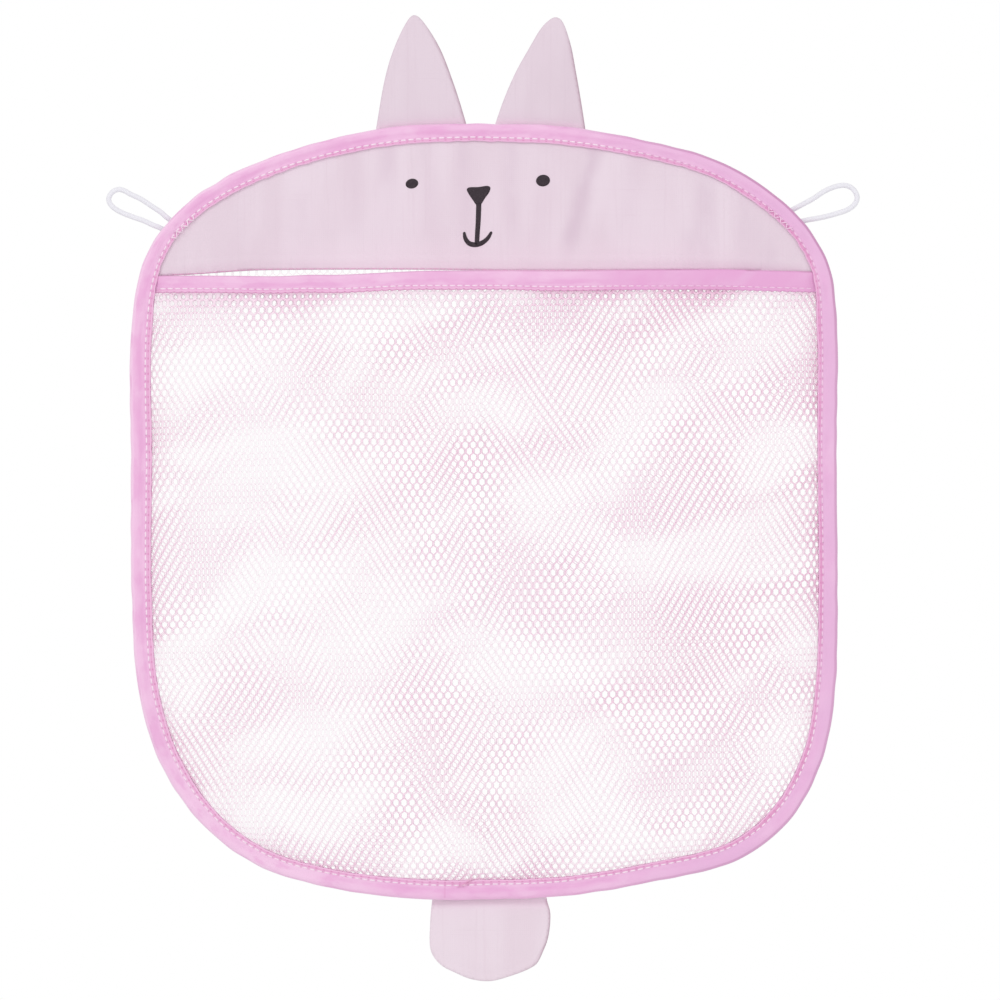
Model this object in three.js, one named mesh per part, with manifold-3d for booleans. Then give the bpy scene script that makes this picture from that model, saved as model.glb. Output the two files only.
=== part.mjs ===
// Bath toy bag that hangs on two wall hooks: a net back, a net pocket that bulges in front of it,
// a cotton face panel above the pocket's mouth, a folded tape round the edge, two ears, a tail tab
// and two cord loops. Millimetres, +Z up. The bag faces -Y, and the back of its edge tape lies on
// the plane Y = 0. The origin is on the back of that tape, in the middle of the top edge.
import * as THREE from 'three';
import { mergeVertices } from 'three/addons/utils/BufferGeometryUtils.js';
import Module from 'manifold-3d';

const wasm = await Module();
wasm.setup();

// Overall sizes
const BODY_WIDTH = 328;
const BODY_HEIGHT = 362.5;
const ORIGIN_DROP = 4;

// Cloth, net, thread and the gap left between any two of them
const NET_CLOTH = 0.6;
const COTTON_CLOTH = 0.6;
const THREAD = 0.5;
const PLY_GAP = 0.3;

// Net: sides of a cell, pitch of the gaps, width of the strands and plain border
const CELL_SIDES = 6;
const NET_PITCH = 28;
const NET_STRAND = 5;
const NET_BORDER = 3;
const SAME_PLACE = 0.001;

// Folded tape round the edge
const TAPE_WIDTH = 9.6;
const TAPE_CLOTH = 1.2;
const STITCH_INSET = 7.4;
const OUTLINE_SUBSTEPS = 2;
const FOLD_STEPS = 4;

// Pocket: how far it stands out at its belly and at its mouth
const BELLY_BULGE = 22;
const MOUTH_BULGE = 12;
const BELLY_HEIGHT_SHARE = 0.4;
const POCKET_CLEARANCE = 0.5;

// Folded tape that hems the pocket's mouth. A drop is a distance below the bag's top line.
const HEM_WIDTH = 8.6;
const HEM_CLOTH = 0.8;
const HEM_ROOM = 0.5;
const HEM_STITCH_INSET = 1.6;
const HEM_STEPS = 24;
const MOUTH_DROP = { left: 72, middle: 69.9, right: 69.4 };

// Cotton face panel's lower edge and its hem stitch
const FACE_DROP = { left: 70.4, middle: 68.1, right: 68.6 };
const FACE_STITCH_INSET = 2.2;

// Printed face: each place is across from the middle, then down from the bag's top line
const INK = 0.2;
const EYE_SIDES = 20;
const EYES = {
  left: { x: -34.4, drop: 28.8, width: 5.9, height: 4.6 },
  right: { x: 26.5, drop: 27.4, width: 6.4, height: 5.4 },
};
const NOSE_OUTLINE = [
  [-8.9, 31.5], [-8.2, 30.7], [1, 29.9], [2, 30.6], [1.6, 32.6], [-2, 37.2],
  [-3.6, 38.3], [-5.2, 37.3], [-8.1, 33.5],
];
const STEM_LINE = [[-3.8, 36.5], [-3.9, 46], [-4.2, 57]];
const STEM_STROKE = 1.9;
const SMILE_LINE = [
  [-10.2, 51.2], [-9.1, 54.8], [-7.1, 57.2], [-4.6, 57.8], [-1.7, 57], [0.8, 54.6], [2.5, 51.2],
];
const SMILE_STROKE = 2.2;
const SMILE_TAPER_SHARES = [0.4, 0.8, 1, 1, 1, 0.8, 0.4];

// Ears and tail: each is two cotton plies, and its root is sewn behind the edge tape
const FLAP_PLY = 0.9;
const FLAP_ROOM = 1;
const SEAM_DEPTH = 8.2;
const SEAM_INSET = 1;
const ROOT_SIDES = 16;
// A tuck is how far a flap's root line lies below the top line, or above the bottom line
const FLAPS = {
  left_ear: { edge: 'top', tuck: 2.3, x: -30.2, width: 42.1, height: 52.1 },
  right_ear: { edge: 'top', tuck: 2.3, x: 25.2, width: 42.1, height: 51.1 },
  tail: { edge: 'bottom', tuck: 0.3, x: 1.9, width: 56, height: 37.3 },
};
// Each flap's outline from its left root to its right root, as shares of its width and height
const FLAP_OUTLINE_SHARES = {
  left_ear: [
    [-0.5, -0.027], [-0.4, 0.43], [-0.31, 0.68], [-0.18, 0.91], [-0.115, 0.985], [-0.078, 1],
    [-0.03, 0.985], [0.055, 0.907], [0.21, 0.7], [0.355, 0.4], [0.427, 0.224], [0.5, 0.027],
  ],
  right_ear: [
    [-0.5, 0.021], [-0.4, 0.255], [-0.268, 0.503], [-0.124, 0.715], [0.019, 0.908],
    [0.12, 0.985], [0.174, 1], [0.235, 0.972], [0.329, 0.774], [0.395, 0.503], [0.45, 0.241],
    [0.5, -0.021],
  ],
  tail: [
    [-0.482, 0], [-0.498, 0.284], [-0.49, 0.63], [-0.407, 0.8], [-0.282, 0.9], [-0.158, 0.975],
    [0, 1], [0.166, 0.938], [0.316, 0.852], [0.386, 0.784], [0.44, 0.63], [0.482, 0.457],
    [0.5, 0.154], [0.473, 0],
  ],
};

// Cord loops. A place is across as a share of the bag's width and down as a share of its height,
// and a route is the free cord's centre line, across and up from that place.
const CORD = 2.5;
const CORD_SIDES = 8;
const CORD_STEPS = 22;
const CORD_END = 7.6;
const LOOP_PLACE_SHARES = { left: [-0.4561, 0.12966], right: [0.44268, 0.11917] };
const LOOP_ROUTES = {
  left: [
    [0.65, 3.05], [-1.42, 4.93], [-5.93, 7.95], [-10.95, 11.25], [-15.74, 13.49],
    [-18.81, 15.16], [-21.55, 15.72], [-24.44, 14.28], [-25.97, 11.25], [-25.09, 8.7],
    [-22.58, 6.46], [-19.27, 4.7], [-14.76, 2.93], [-9.7, 1.16], [-4.67, -1.12], [-3.46, -1.53],
  ],
  right: [
    [-1.16, 3.25], [2.16, 5.02], [6.91, 7.58], [12.35, 11.16], [17.09, 13.16], [21.32, 13.86],
    [24.2, 13.07], [26.34, 11.16], [27.5, 8.09], [26.11, 4.74], [22.76, 2.37], [18.76, 0.93],
    [12.81, -0.7], [8.07, -1.67], [4.59, -2.24],
  ],
};

// Zigzag stitches that hold each loop's ends
const TACK_WIDTH = 2.2;
const TACK_LENGTH = 12;
const TACK_THREAD = 0.6;
const TACK_ZIGS = 7;

// Outer edge of the bag, clockwise from the top as the front is seen:
// across as a share of the width, and down from the top line as a share of the height.
const BODY_OUTLINE_SHARES = [
  [0.0089, 0.0028], [0.1088, 0.0059], [0.2217, 0.0232], [0.3209, 0.0473], [0.3976, 0.0858],
  [0.4551, 0.1344], [0.487, 0.1876], [0.4975, 0.2601], [0.4966, 0.42], [0.4982, 0.587],
  [0.4947, 0.7278], [0.4774, 0.8145], [0.4313, 0.8945], [0.3575, 0.946], [0.2363, 0.9742],
  [0.1093, 0.9931], [0.0001, 1.0012], [-0.0721, 0.9995], [-0.2039, 0.9849], [-0.3185, 0.9555],
  [-0.3976, 0.9048], [-0.4589, 0.8268], [-0.4923, 0.7285], [-0.5021, 0.6001], [-0.5029, 0.433],
  [-0.5026, 0.2658], [-0.485, 0.1789], [-0.4493, 0.1276], [-0.385, 0.079], [-0.2741, 0.036],
  [-0.1398, 0.0076], [-0.0209, 0.0025],
];

const fabric = (color, roughness) => new THREE.MeshStandardMaterial({ color, roughness, metalness: 0 });
const tapePink = fabric(0xefb9e3, 0.55);
const netPink = fabric(0xf6d3ea, 0.7);
const cottonPale = fabric(0xe8d8e2, 0.9);
const threadPink = fabric(0xf9dcf0, 0.6);
const cordWhite = fabric(0xefedf4, 0.8);
const inkBrown = fabric(0x3a3036, 0.7);

// Plies from the back face forwards, as places on Y
const netBack = -(TAPE_CLOTH + PLY_GAP);
const netFront = netBack - NET_CLOTH;
const faceBack = netFront - PLY_GAP;
const faceFront = faceBack - COTTON_CLOTH;
const tapeFront = faceFront - PLY_GAP - TAPE_CLOTH;
const hemBack = netFront - PLY_GAP;
const pocketBack = hemBack - HEM_CLOTH - HEM_ROOM;
const hemFront = pocketBack - NET_CLOTH - HEM_ROOM - HEM_CLOTH;
const inkBack = faceFront - PLY_GAP;
const flapHalf = FLAP_PLY + PLY_GAP / 2;
const flapMiddle = PLY_GAP + flapHalf;
const cordMiddle = PLY_GAP + CORD / 2;
const flapLift = flapHalf + PLY_GAP + FLAP_ROOM;
const pocketInset = TAPE_WIDTH + POCKET_CLEARANCE;

// The outline as a closed curve in the plane of X and Z, and frames along it
const bodyCurve = new THREE.CatmullRomCurve3(
  BODY_OUTLINE_SHARES.map(([across, down]) =>
    new THREE.Vector3(across * BODY_WIDTH, 0, ORIGIN_DROP - down * BODY_HEIGHT)),
  true,
);
const frameCount = BODY_OUTLINE_SHARES.length * OUTLINE_SUBSTEPS;
const edgeFrames = Array.from({ length: frameCount }, (_, i) => {
  const tangent = bodyCurve.getTangent(i / frameCount);
  return {
    point: bodyCurve.getPoint(i / frameCount),
    inward: new THREE.Vector3(tangent.z, 0, -tangent.x),
  };
});

// The outline moved inwards. On flat drawings y stands for the part's Z.
function insetOutline(inset) {
  return edgeFrames.map(({ point, inward }) =>
    new THREE.Vector2(point.x + inward.x * inset, point.z + inward.z * inset));
}

const pocketOutline = insetOutline(pocketInset);
const pocketFloor = Math.min(...pocketOutline.map((p) => p.y));

// Every place across where a closed outline crosses a height
function crossings(outline, height) {
  return outline.flatMap((a, i) => {
    const b = outline[(i + 1) % outline.length];
    if ((a.y > height) === (b.y > height)) return [];
    return [a.x + ((height - a.y) / (b.y - a.y)) * (b.x - a.x)];
  });
}

function isInside(outline, p) {
  return crossings(outline, p.y).filter((x) => x < p.x).length % 2 === 1;
}

function zOf(drop) {
  return ORIGIN_DROP - drop;
}

// Height of a line that runs from side to side, from its drops at the left, middle and right
function lineHeight(drop, x) {
  const share = (2 * x) / BODY_WIDTH;
  const bend = (drop.left + drop.right) / 2 - drop.middle;
  const tilt = (drop.right - drop.left) / 2;
  return zOf(drop.middle + tilt * share + bend * share * share);
}

// Even places across on such a line, between the sides of an outline
function linePlaces(outline, drop, shift) {
  const [leftHeight, rightHeight] = [-BODY_WIDTH, BODY_WIDTH].map((x) =>
    lineHeight(drop, x / 2) + shift);
  const left = Math.min(...crossings(outline, leftHeight));
  const right = Math.max(...crossings(outline, rightHeight));
  return Array.from({ length: HEM_STEPS + 1 }, (_, i) =>
    THREE.MathUtils.lerp(left, right, i / HEM_STEPS));
}

// How far the pocket stands forward of its flat plane at a place. It doesn't change over the hem.
function pocketBulge(x, height) {
  const hem = lineHeight(MOUTH_DROP, x) - HEM_WIDTH - NET_BORDER;
  const z = Math.min(height, hem);
  const up = THREE.MathUtils.clamp((z - pocketFloor) / (hem - pocketFloor), 0, 1);
  const rise = Math.sin(Math.min(up / BELLY_HEIGHT_SHARE, 1) * Math.PI / 2);
  const ease = THREE.MathUtils.smoothstep(up, BELLY_HEIGHT_SHARE, 1);
  const middle = rise * THREE.MathUtils.lerp(BELLY_BULGE, MOUTH_BULGE, ease);
  const sides = crossings(pocketOutline, z);
  if (sides.length < 2) return 0;
  const [left, right] = [Math.min(...sides), Math.max(...sides)];
  const across = THREE.MathUtils.clamp((x - left) / Math.max(right - left, SAME_PLACE), 0, 1);
  return middle * 4 * across * (1 - across);
}

function solidOf(geometry) {
  const bare = geometry.clone();
  bare.deleteAttribute('normal');
  bare.deleteAttribute('uv');
  const merged = mergeVertices(bare);
  return new wasm.Manifold(new wasm.Mesh({
    numProp: 3,
    vertProperties: merged.attributes.position.array,
    triVerts: new Uint32Array(merged.index.array),
  }));
}

function geometryOf(solid) {
  const { vertProperties, triVerts } = solid.getMesh();
  const geometry = new THREE.BufferGeometry();
  geometry.setAttribute('position', new THREE.BufferAttribute(vertProperties, 3));
  geometry.setIndex(new THREE.BufferAttribute(triVerts, 1));
  return geometry;
}

// The same surface, turned so that its faces point out
function facingOut(geometry) {
  if (solidOf(geometry).volume() > 0) return geometry;
  const faces = geometry.index.array;
  for (let i = 0; i < faces.length; i += 3) {
    [faces[i + 1], faces[i + 2]] = [faces[i + 2], faces[i + 1]];
  }
  return geometry;
}

// Solid made of rings of points: each ring is joined to the next, and open ends are capped
function sweep(rings, section, closed) {
  const count = section.length;
  const faces = [];
  const joined = closed ? rings.length : rings.length - 1;
  for (let i = 0; i < joined; i += 1) {
    const next = ((i + 1) % rings.length) * count;
    for (let j = 0; j < count; j += 1) {
      const k = (j + 1) % count;
      faces.push(i * count + j, next + j, next + k, i * count + j, next + k, i * count + k);
    }
  }
  if (!closed) {
    const last = (rings.length - 1) * count;
    const isClockwise = THREE.ShapeUtils.isClockWise(section);
    THREE.ShapeUtils.triangulateShape(section, []).forEach(([a, b, c]) => {
      const [d, e] = isClockwise ? [c, b] : [b, c];
      faces.push(a, d, e, last + a, last + e, last + d);
    });
  }
  const geometry = new THREE.BufferGeometry().setFromPoints(rings.flat());
  geometry.setIndex(faces);
  return facingOut(geometry);
}

// A flat piece drawn as the front is seen, from its back's place on Y forwards
function flatPiece(shape, back, thickness) {
  const geometry = new THREE.ExtrudeGeometry(shape, { depth: thickness, bevelEnabled: false });
  return geometry.rotateX(Math.PI / 2).translate(0, back, 0);
}

const bag = new THREE.Group();

function add(name, geometry, material) {
  const mesh = new THREE.Mesh(geometry, material);
  mesh.name = name;
  bag.add(mesh);
}

// A section given as inset and place on Y, swept round the bag's edge
function roundTheEdge(section) {
  const drawn = section.map(([inset, y]) => new THREE.Vector2(inset, y));
  const rings = edgeFrames.map(({ point, inward }) => drawn.map((p) =>
    new THREE.Vector3(point.x + inward.x * p.x, p.y, point.z + inward.z * p.x)));
  return sweep(rings, drawn, true);
}

// A thread's four-sided section about a middle
function threadSection(middle, y) {
  const half = THREAD / 2;
  return [[middle - half, y], [middle, y + half], [middle + half, y], [middle, y - half]];
}

// The folded tape: a rounded outer edge and two lips, each with a groove for its stitches
function addEdgeTape() {
  const radius = -tapeFront / 2;
  const groove = [STITCH_INSET - THREAD / 2 - PLY_GAP, STITCH_INSET + THREAD / 2 + PLY_GAP];
  const grooveDepth = THREAD + PLY_GAP;
  const fold = Array.from({ length: FOLD_STEPS + 1 }, (_, i) => {
    const angle = (i / FOLD_STEPS) * Math.PI;
    return [radius * (1 - Math.sin(angle)), -radius * (1 + Math.cos(angle))];
  });
  const backLip = [
    [groove[0], 0], [groove[0], -grooveDepth], [groove[1], -grooveDepth], [groove[1], 0],
    [TAPE_WIDTH, 0], [TAPE_WIDTH, -TAPE_CLOTH], [TAPE_CLOTH, -TAPE_CLOTH],
  ];
  const frontLip = backLip.map(([inset, y]) => [inset, tapeFront - y]).reverse();
  add('edge_tape', roundTheEdge([...fold, ...backLip, ...frontLip]), tapePink);
  const needle = threadSection(STITCH_INSET, tapeFront + THREAD / 2);
  const bobbin = threadSection(STITCH_INSET, -THREAD / 2);
  add('edge_needle_thread', roundTheEdge(needle), threadPink);
  add('edge_bobbin_thread', roundTheEdge(bobbin), threadPink);
}

// What is left of a closed outline inside a convex cell whose corners run anticlockwise
function cutToCell(outline, cell) {
  return cell.reduce((kept, a, i) => {
    const b = cell[(i + 1) % cell.length];
    const inwards = (p) => (b.x - a.x) * (p.y - a.y) - (b.y - a.y) * (p.x - a.x);
    return kept.flatMap((p, j) => {
      const q = kept[(j + 1) % kept.length];
      const [from, to] = [inwards(p), inwards(q)];
      const own = from >= 0 ? [p] : [];
      return (from >= 0) === (to >= 0) ? own : [...own, p.clone().lerp(q, from / (from - to))];
    });
  }, outline);
}

// A net drawn flat, as triangles: six-sided cells in staggered rows, cut to an outline.
// A cell has a gap in its middle where all the gap's corners are in the open part.
function netTriangles(outline, isOpen) {
  const rowPitch = NET_PITCH * Math.sqrt(3) / 2;
  const columns = Math.ceil(BODY_WIDTH / NET_PITCH);
  const rows = Math.ceil(BODY_HEIGHT / rowPitch);
  const triangles = [];
  let gaps = 0;
  for (let row = 0; row <= rows; row += 1) {
    for (let column = -columns; column <= columns; column += 1) {
      const hexagon = (width) => Array.from({ length: CELL_SIDES }, (_, i) => {
        const angle = (i + 0.5) * 2 * Math.PI / CELL_SIDES;
        return new THREE.Vector2(
          (column + (row % 2) / 2) * NET_PITCH + width / Math.sqrt(3) * Math.cos(angle),
          zOf(row * rowPitch) + width / Math.sqrt(3) * Math.sin(angle),
        );
      });
      const gap = hexagon(NET_PITCH - NET_STRAND);
      const hasGap = gap.every(isOpen);
      const cell = hasGap ? hexagon(NET_PITCH) : cutToCell(outline, hexagon(NET_PITCH));
      const points = hasGap ? [...cell, ...gap] : cell;
      THREE.ShapeUtils.triangulateShape(cell, hasGap ? [gap] : [])
        .forEach((corners) => triangles.push(corners.map((i) => points[i])));
      gaps += hasGap ? 1 : 0;
    }
  }
  console.log(`${gaps} gaps in a net`);
  return triangles;
}

// A solid of one thickness from flat triangles, with each point moved forward by a rule
function plateOf(triangles, back, forwardAt) {
  const places = new Map();
  const indexOf = (p) => {
    const key = [p.x, p.y].map((length) => Math.round(length / SAME_PLACE)).join();
    if (!places.has(key)) places.set(key, { index: places.size, p });
    return places.get(key).index;
  };
  const front = triangles
    .map((t) => (THREE.ShapeUtils.isClockWise(t) ? [...t].reverse() : t).map(indexOf))
    .filter(([a, b, c]) => a !== b && b !== c && c !== a);
  const edges = front.flatMap(([a, b, c]) => [[a, b], [b, c], [c, a]]);
  const known = new Set(edges.map((edge) => edge.join()));
  const rim = edges.filter(([a, b]) => !known.has([b, a].join()));
  const rear = places.size;
  const faces = [
    ...front.flatMap(([a, b, c]) => [a, b, c, rear + a, rear + c, rear + b]),
    ...rim.flatMap(([a, b]) => [b, a, rear + a, b, rear + a, rear + b]),
  ];
  const points = [back - NET_CLOTH, back].flatMap((y) =>
    [...places.values()].map(({ p }) => new THREE.Vector3(p.x, y - forwardAt(p.x, p.y), p.y)));
  const geometry = new THREE.BufferGeometry().setFromPoints(points);
  geometry.setIndex(faces);
  return facingOut(geometry);
}

function addBackNet() {
  const border = insetOutline(TAPE_WIDTH + NET_BORDER);
  const net = netTriangles(insetOutline(TAPE_CLOTH + PLY_GAP), (p) => isInside(border, p));
  add('back_net', plateOf(net, netBack, () => 0), netPink);
}

// The part of an outline above or below a line from side to side, closed along that line
function cutOutline(outline, drop, shift, above) {
  const isKept = (p) => (p.y > lineHeight(drop, p.x) + shift) === above;
  const count = outline.length;
  const first = outline.findIndex((p, i) => isKept(p) && !isKept(outline[(i + count - 1) % count]));
  const arc = [];
  for (let i = first; isKept(outline[i % count]); i += 1) arc.push(outline[i % count]);
  const line = linePlaces(outline, drop, shift)
    .map((x) => new THREE.Vector2(x, lineHeight(drop, x) + shift));
  const startsRight = arc[0].x > 0;
  return [...arc, ...(startsRight ? line : line.reverse())];
}

// A section given as height and place on Y, swept along a line from side to side
function acrossTheBag(section, outline, drop, forwardAt) {
  const drawn = section.map(([up, y]) => new THREE.Vector2(up, y));
  const rings = linePlaces(outline, drop, 0).map((x) => {
    const z = lineHeight(drop, x);
    return drawn.map((p) => new THREE.Vector3(x, p.y - forwardAt(x, z), z + p.x));
  });
  return sweep(rings, drawn, false);
}

function addFacePanel() {
  const shape = new THREE.Shape(cutOutline(insetOutline(TAPE_CLOTH + PLY_GAP), FACE_DROP, 0, true));
  add('face_panel', flatPiece(shape, faceBack, COTTON_CLOTH), cottonPale);
  const thread = threadSection(FACE_STITCH_INSET, inkBack - THREAD / 2);
  const span = insetOutline(TAPE_WIDTH + POCKET_CLEARANCE + FACE_STITCH_INSET);
  add('face_hem_thread', acrossTheBag(thread, span, FACE_DROP, () => 0), threadPink);
}

// The pocket is drawn flat like the back net, and bulges
function addPocketNet() {
  const border = insetOutline(pocketInset + NET_BORDER);
  const outline = cutOutline(pocketOutline, MOUTH_DROP, -(HEM_CLOTH + HEM_ROOM), false);
  const net = netTriangles(outline, (p) =>
    isInside(border, p) && p.y < lineHeight(MOUTH_DROP, p.x) - HEM_WIDTH - NET_BORDER);
  add('pocket_net', plateOf(net, pocketBack, pocketBulge), netPink);
}

function addPocketHem() {
  const tape = [
    [0, hemBack], [0, hemFront], [-HEM_WIDTH, hemFront], [-HEM_WIDTH, hemFront + HEM_CLOTH],
    [-HEM_CLOTH, hemFront + HEM_CLOTH], [-HEM_CLOTH, hemBack - HEM_CLOTH],
    [-HEM_WIDTH, hemBack - HEM_CLOTH], [-HEM_WIDTH, hemBack],
  ];
  const needle = threadSection(HEM_STITCH_INSET - HEM_WIDTH, hemFront - PLY_GAP - THREAD / 2);
  add('pocket_hem_tape', acrossTheBag(tape, pocketOutline, MOUTH_DROP, pocketBulge), tapePink);
  add('pocket_hem_thread', acrossTheBag(needle, pocketOutline, MOUTH_DROP, pocketBulge), threadPink);
}

// A stroke of changing width along a line of places across and down
function strokeShape(line, widths) {
  const middle = line.map(([x, drop]) => new THREE.Vector2(x, zOf(drop)));
  const sides = [1, -1].map((side) => middle.map((p, i) => {
    const along = middle[Math.min(i + 1, middle.length - 1)].clone()
      .sub(middle[Math.max(i - 1, 0)]).normalize();
    const half = side * widths[i] / 2;
    return new THREE.Vector2(p.x - along.y * half, p.y + along.x * half);
  }));
  return new THREE.Shape([...sides[0], ...sides[1].reverse()]);
}

function addPrintedFace() {
  Object.entries(EYES).forEach(([side, eye]) => {
    const shape = new THREE.Shape(Array.from({ length: EYE_SIDES }, (_, i) => {
      const angle = (i / EYE_SIDES) * 2 * Math.PI;
      return new THREE.Vector2(
        eye.x + Math.cos(angle) * eye.width / 2,
        zOf(eye.drop) + Math.sin(angle) * eye.height / 2,
      );
    }));
    add(`${side}_eye_print`, flatPiece(shape, inkBack, INK), inkBrown);
  });
  const nose = new THREE.Shape(NOSE_OUTLINE.map(([x, drop]) => new THREE.Vector2(x, zOf(drop))));
  const stem = strokeShape(STEM_LINE, STEM_LINE.map(() => STEM_STROKE));
  const smile = strokeShape(SMILE_LINE, SMILE_TAPER_SHARES.map((share) => share * SMILE_STROKE));
  const [first, ...rest] = [nose, stem, smile].map((shape) =>
    solidOf(flatPiece(shape, inkBack, INK)));
  const muzzle = rest.reduce((joined, piece) => joined.add(piece), first);
  add('muzzle_print', geometryOf(muzzle), inkBrown);
}

// An ear or the tail: two plies that fold about a line just outside the tape, and their sewn root
function addFlap(name) {
  const flap = FLAPS[name];
  const isTop = flap.edge === 'top';
  const up = isTop ? 1 : -1;
  const root = zOf(isTop ? flap.tuck : BODY_HEIGHT - flap.tuck);
  const outline = FLAP_OUTLINE_SHARES[name].map(([across, out]) => new THREE.Vector2(
    flap.x + across * flap.width,
    root + up * out * flap.height,
  ));
  const [left, right] = [outline[0], outline[outline.length - 1]];
  const along = right.clone().sub(left).normalize();
  const out = new THREE.Vector2(-along.y, along.x).multiplyScalar(up);
  const moved = (p, outwards, inwards) =>
    p.clone().addScaledVector(out, outwards).addScaledVector(along, inwards);
  const foot = flapLift - flapHalf;
  const ply = new THREE.Shape([
    moved(left, foot, 0), ...outline.slice(1, -1), moved(right, foot, 0),
  ]);
  // Below the fold line each ply keeps only what lies inside a round bar about that line
  const middle = left.clone().add(right).multiplyScalar(0.5).addScaledVector(out, flapLift);
  const length = 2 * flap.width;
  const bar = solidOf(new THREE.CylinderGeometry(flapHalf, flapHalf, length, ROOT_SIDES)
    .rotateZ(Math.PI / 2));
  const corners = solidOf(new THREE.BoxGeometry(length, 4 * flapHalf, 2 * flapHalf)
    .translate(0, 0, -up * flapHalf)).subtract(bar);
  const cutter = solidOf(geometryOf(corners)
    .rotateY(-Math.atan2(along.y, along.x)).translate(middle.x, flapMiddle, middle.y));
  const backs = { front: flapMiddle - PLY_GAP / 2, back: flapMiddle + flapHalf };
  Object.entries(backs).forEach(([side, back]) => {
    const solid = solidOf(flatPiece(ply, back, FLAP_PLY)).subtract(cutter);
    add(`${name}_${side}`, geometryOf(solid), cottonPale);
  });
  const top = foot - PLY_GAP;
  const seam = new THREE.Shape([
    moved(left, top, SEAM_INSET), moved(right, top, -SEAM_INSET),
    moved(right, -SEAM_DEPTH, -SEAM_INSET), moved(left, -SEAM_DEPTH, SEAM_INSET),
  ]);
  add(`${name}_seam`, flatPiece(seam, flapMiddle + flapHalf, 2 * flapHalf), cottonPale);
  console.log(`${name} folds about`, middle.x, flapMiddle, middle.y, 'along', along.x, 0, along.y);
}

function cordTube(path, steps) {
  const section = new THREE.Shape(Array.from({ length: CORD_SIDES }, (_, i) => {
    const angle = (i / CORD_SIDES) * 2 * Math.PI;
    return new THREE.Vector2(Math.cos(angle), Math.sin(angle)).multiplyScalar(CORD / 2);
  }));
  return new THREE.ExtrudeGeometry(section, { steps, extrudePath: path, bevelEnabled: false });
}

// A loop's free cord, its two ends behind the tape and the zigzag stitches that hold them
function addLoop(side) {
  const [across, down] = LOOP_PLACE_SHARES[side];
  const route = LOOP_ROUTES[side].map(([x, up]) =>
    new THREE.Vector3(across * BODY_WIDTH + x, cordMiddle, zOf(down * BODY_HEIGHT) + up));
  const ends = { upper: route[0].clone(), lower: route[route.length - 1].clone() };
  const along = ends.upper.clone().sub(ends.lower).normalize();
  const inward = new THREE.Vector3(along.z, 0, -along.x).multiplyScalar(side === 'left' ? 1 : -1);
  const turnRoom = CORD / 2 + PLY_GAP;
  [route[0], route[route.length - 1]].forEach((p) => p.addScaledVector(inward, CORD / 4));
  add(`${side}_loop`, cordTube(new THREE.CatmullRomCurve3(route), CORD_STEPS), cordWhite);
  Object.entries(ends).forEach(([end, exit]) => {
    const outer = exit.clone().addScaledVector(inward, turnRoom);
    const inner = exit.clone().addScaledVector(inward, turnRoom + CORD_END);
    add(`${side}_loop_${end}_end`, cordTube(new THREE.LineCurve3(outer, inner), 1), cordWhite);
  });
  const middle = ends.upper.clone().add(ends.lower).multiplyScalar(0.5);
  console.log(`${side} loop swings about`, ...middle.toArray(), 'along', ...along.toArray());
  const seam = middle.addScaledVector(inward, turnRoom + STITCH_INSET);
  const zigzag = Array.from({ length: TACK_ZIGS + 1 }, (_, i) => {
    const point = seam.clone()
      .addScaledVector(along, (i / TACK_ZIGS - 0.5) * TACK_LENGTH)
      .addScaledVector(inward, (i % 2 - 0.5) * TACK_WIDTH);
    return [point.x, zOf(point.z)];
  });
  const shape = strokeShape(zigzag, zigzag.map(() => TACK_THREAD));
  add(`${side}_loop_tack`, flatPiece(shape, tapeFront - PLY_GAP, TACK_THREAD), threadPink);
}

addEdgeTape();
addBackNet();
addFacePanel();
addPrintedFace();
addPocketNet();
addPocketHem();
Object.keys(FLAPS).forEach(addFlap);
Object.keys(LOOP_ROUTES).forEach(addLoop);

export default bag;
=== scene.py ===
# %% [markdown]
# # A bath toy bag: cotton face, net pocket, folded tape edge
# This is a flat bag for wet bath toys. It hangs on two hooks by its cord loops, and toys go in over
# the hem of a net pocket. The sewn bag is soft all over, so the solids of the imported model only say
# where each piece is and what moves. Every visible piece is made again here as cloth, net, tape,
# cord or thread, in the same places, and the solid it stands for is hidden.
#
# The model is loaded first. All lengths are metres, +Z is up, and the front faces -Y.

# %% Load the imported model
import math

import bmesh
import bpy
import numpy as np
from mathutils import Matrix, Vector, geometry
from mathutils.kdtree import KDTree


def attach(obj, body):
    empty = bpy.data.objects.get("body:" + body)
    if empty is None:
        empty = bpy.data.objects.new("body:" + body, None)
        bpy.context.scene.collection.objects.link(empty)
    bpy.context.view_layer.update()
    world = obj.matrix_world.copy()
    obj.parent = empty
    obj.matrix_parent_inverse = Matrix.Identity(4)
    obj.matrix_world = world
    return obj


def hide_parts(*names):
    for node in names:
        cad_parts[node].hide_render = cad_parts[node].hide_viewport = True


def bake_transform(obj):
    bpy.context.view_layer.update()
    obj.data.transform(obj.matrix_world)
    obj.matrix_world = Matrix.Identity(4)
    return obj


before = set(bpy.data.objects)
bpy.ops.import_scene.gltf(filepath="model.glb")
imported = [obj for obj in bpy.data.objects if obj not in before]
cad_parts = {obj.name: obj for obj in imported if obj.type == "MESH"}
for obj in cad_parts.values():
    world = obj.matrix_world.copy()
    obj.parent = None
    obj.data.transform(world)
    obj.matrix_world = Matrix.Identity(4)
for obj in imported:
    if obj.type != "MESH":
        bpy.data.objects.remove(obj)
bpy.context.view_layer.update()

MM = 0.001

# %% [markdown]
# ## Camera
# The bag was seen straight on from a few metres away, so its two sides look alike and the net's
# rows stay level. A long lens at three metres gives that flat view. The lens is chosen so that one
# pixel of a 1000 pixel picture is 0.465 mm on the bag.

# %% Camera
def new_object(name, data):
    """An object in the scene that shows this data."""
    made = bpy.data.objects.new(name, data)
    bpy.context.scene.collection.objects.link(made)
    return made


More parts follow.
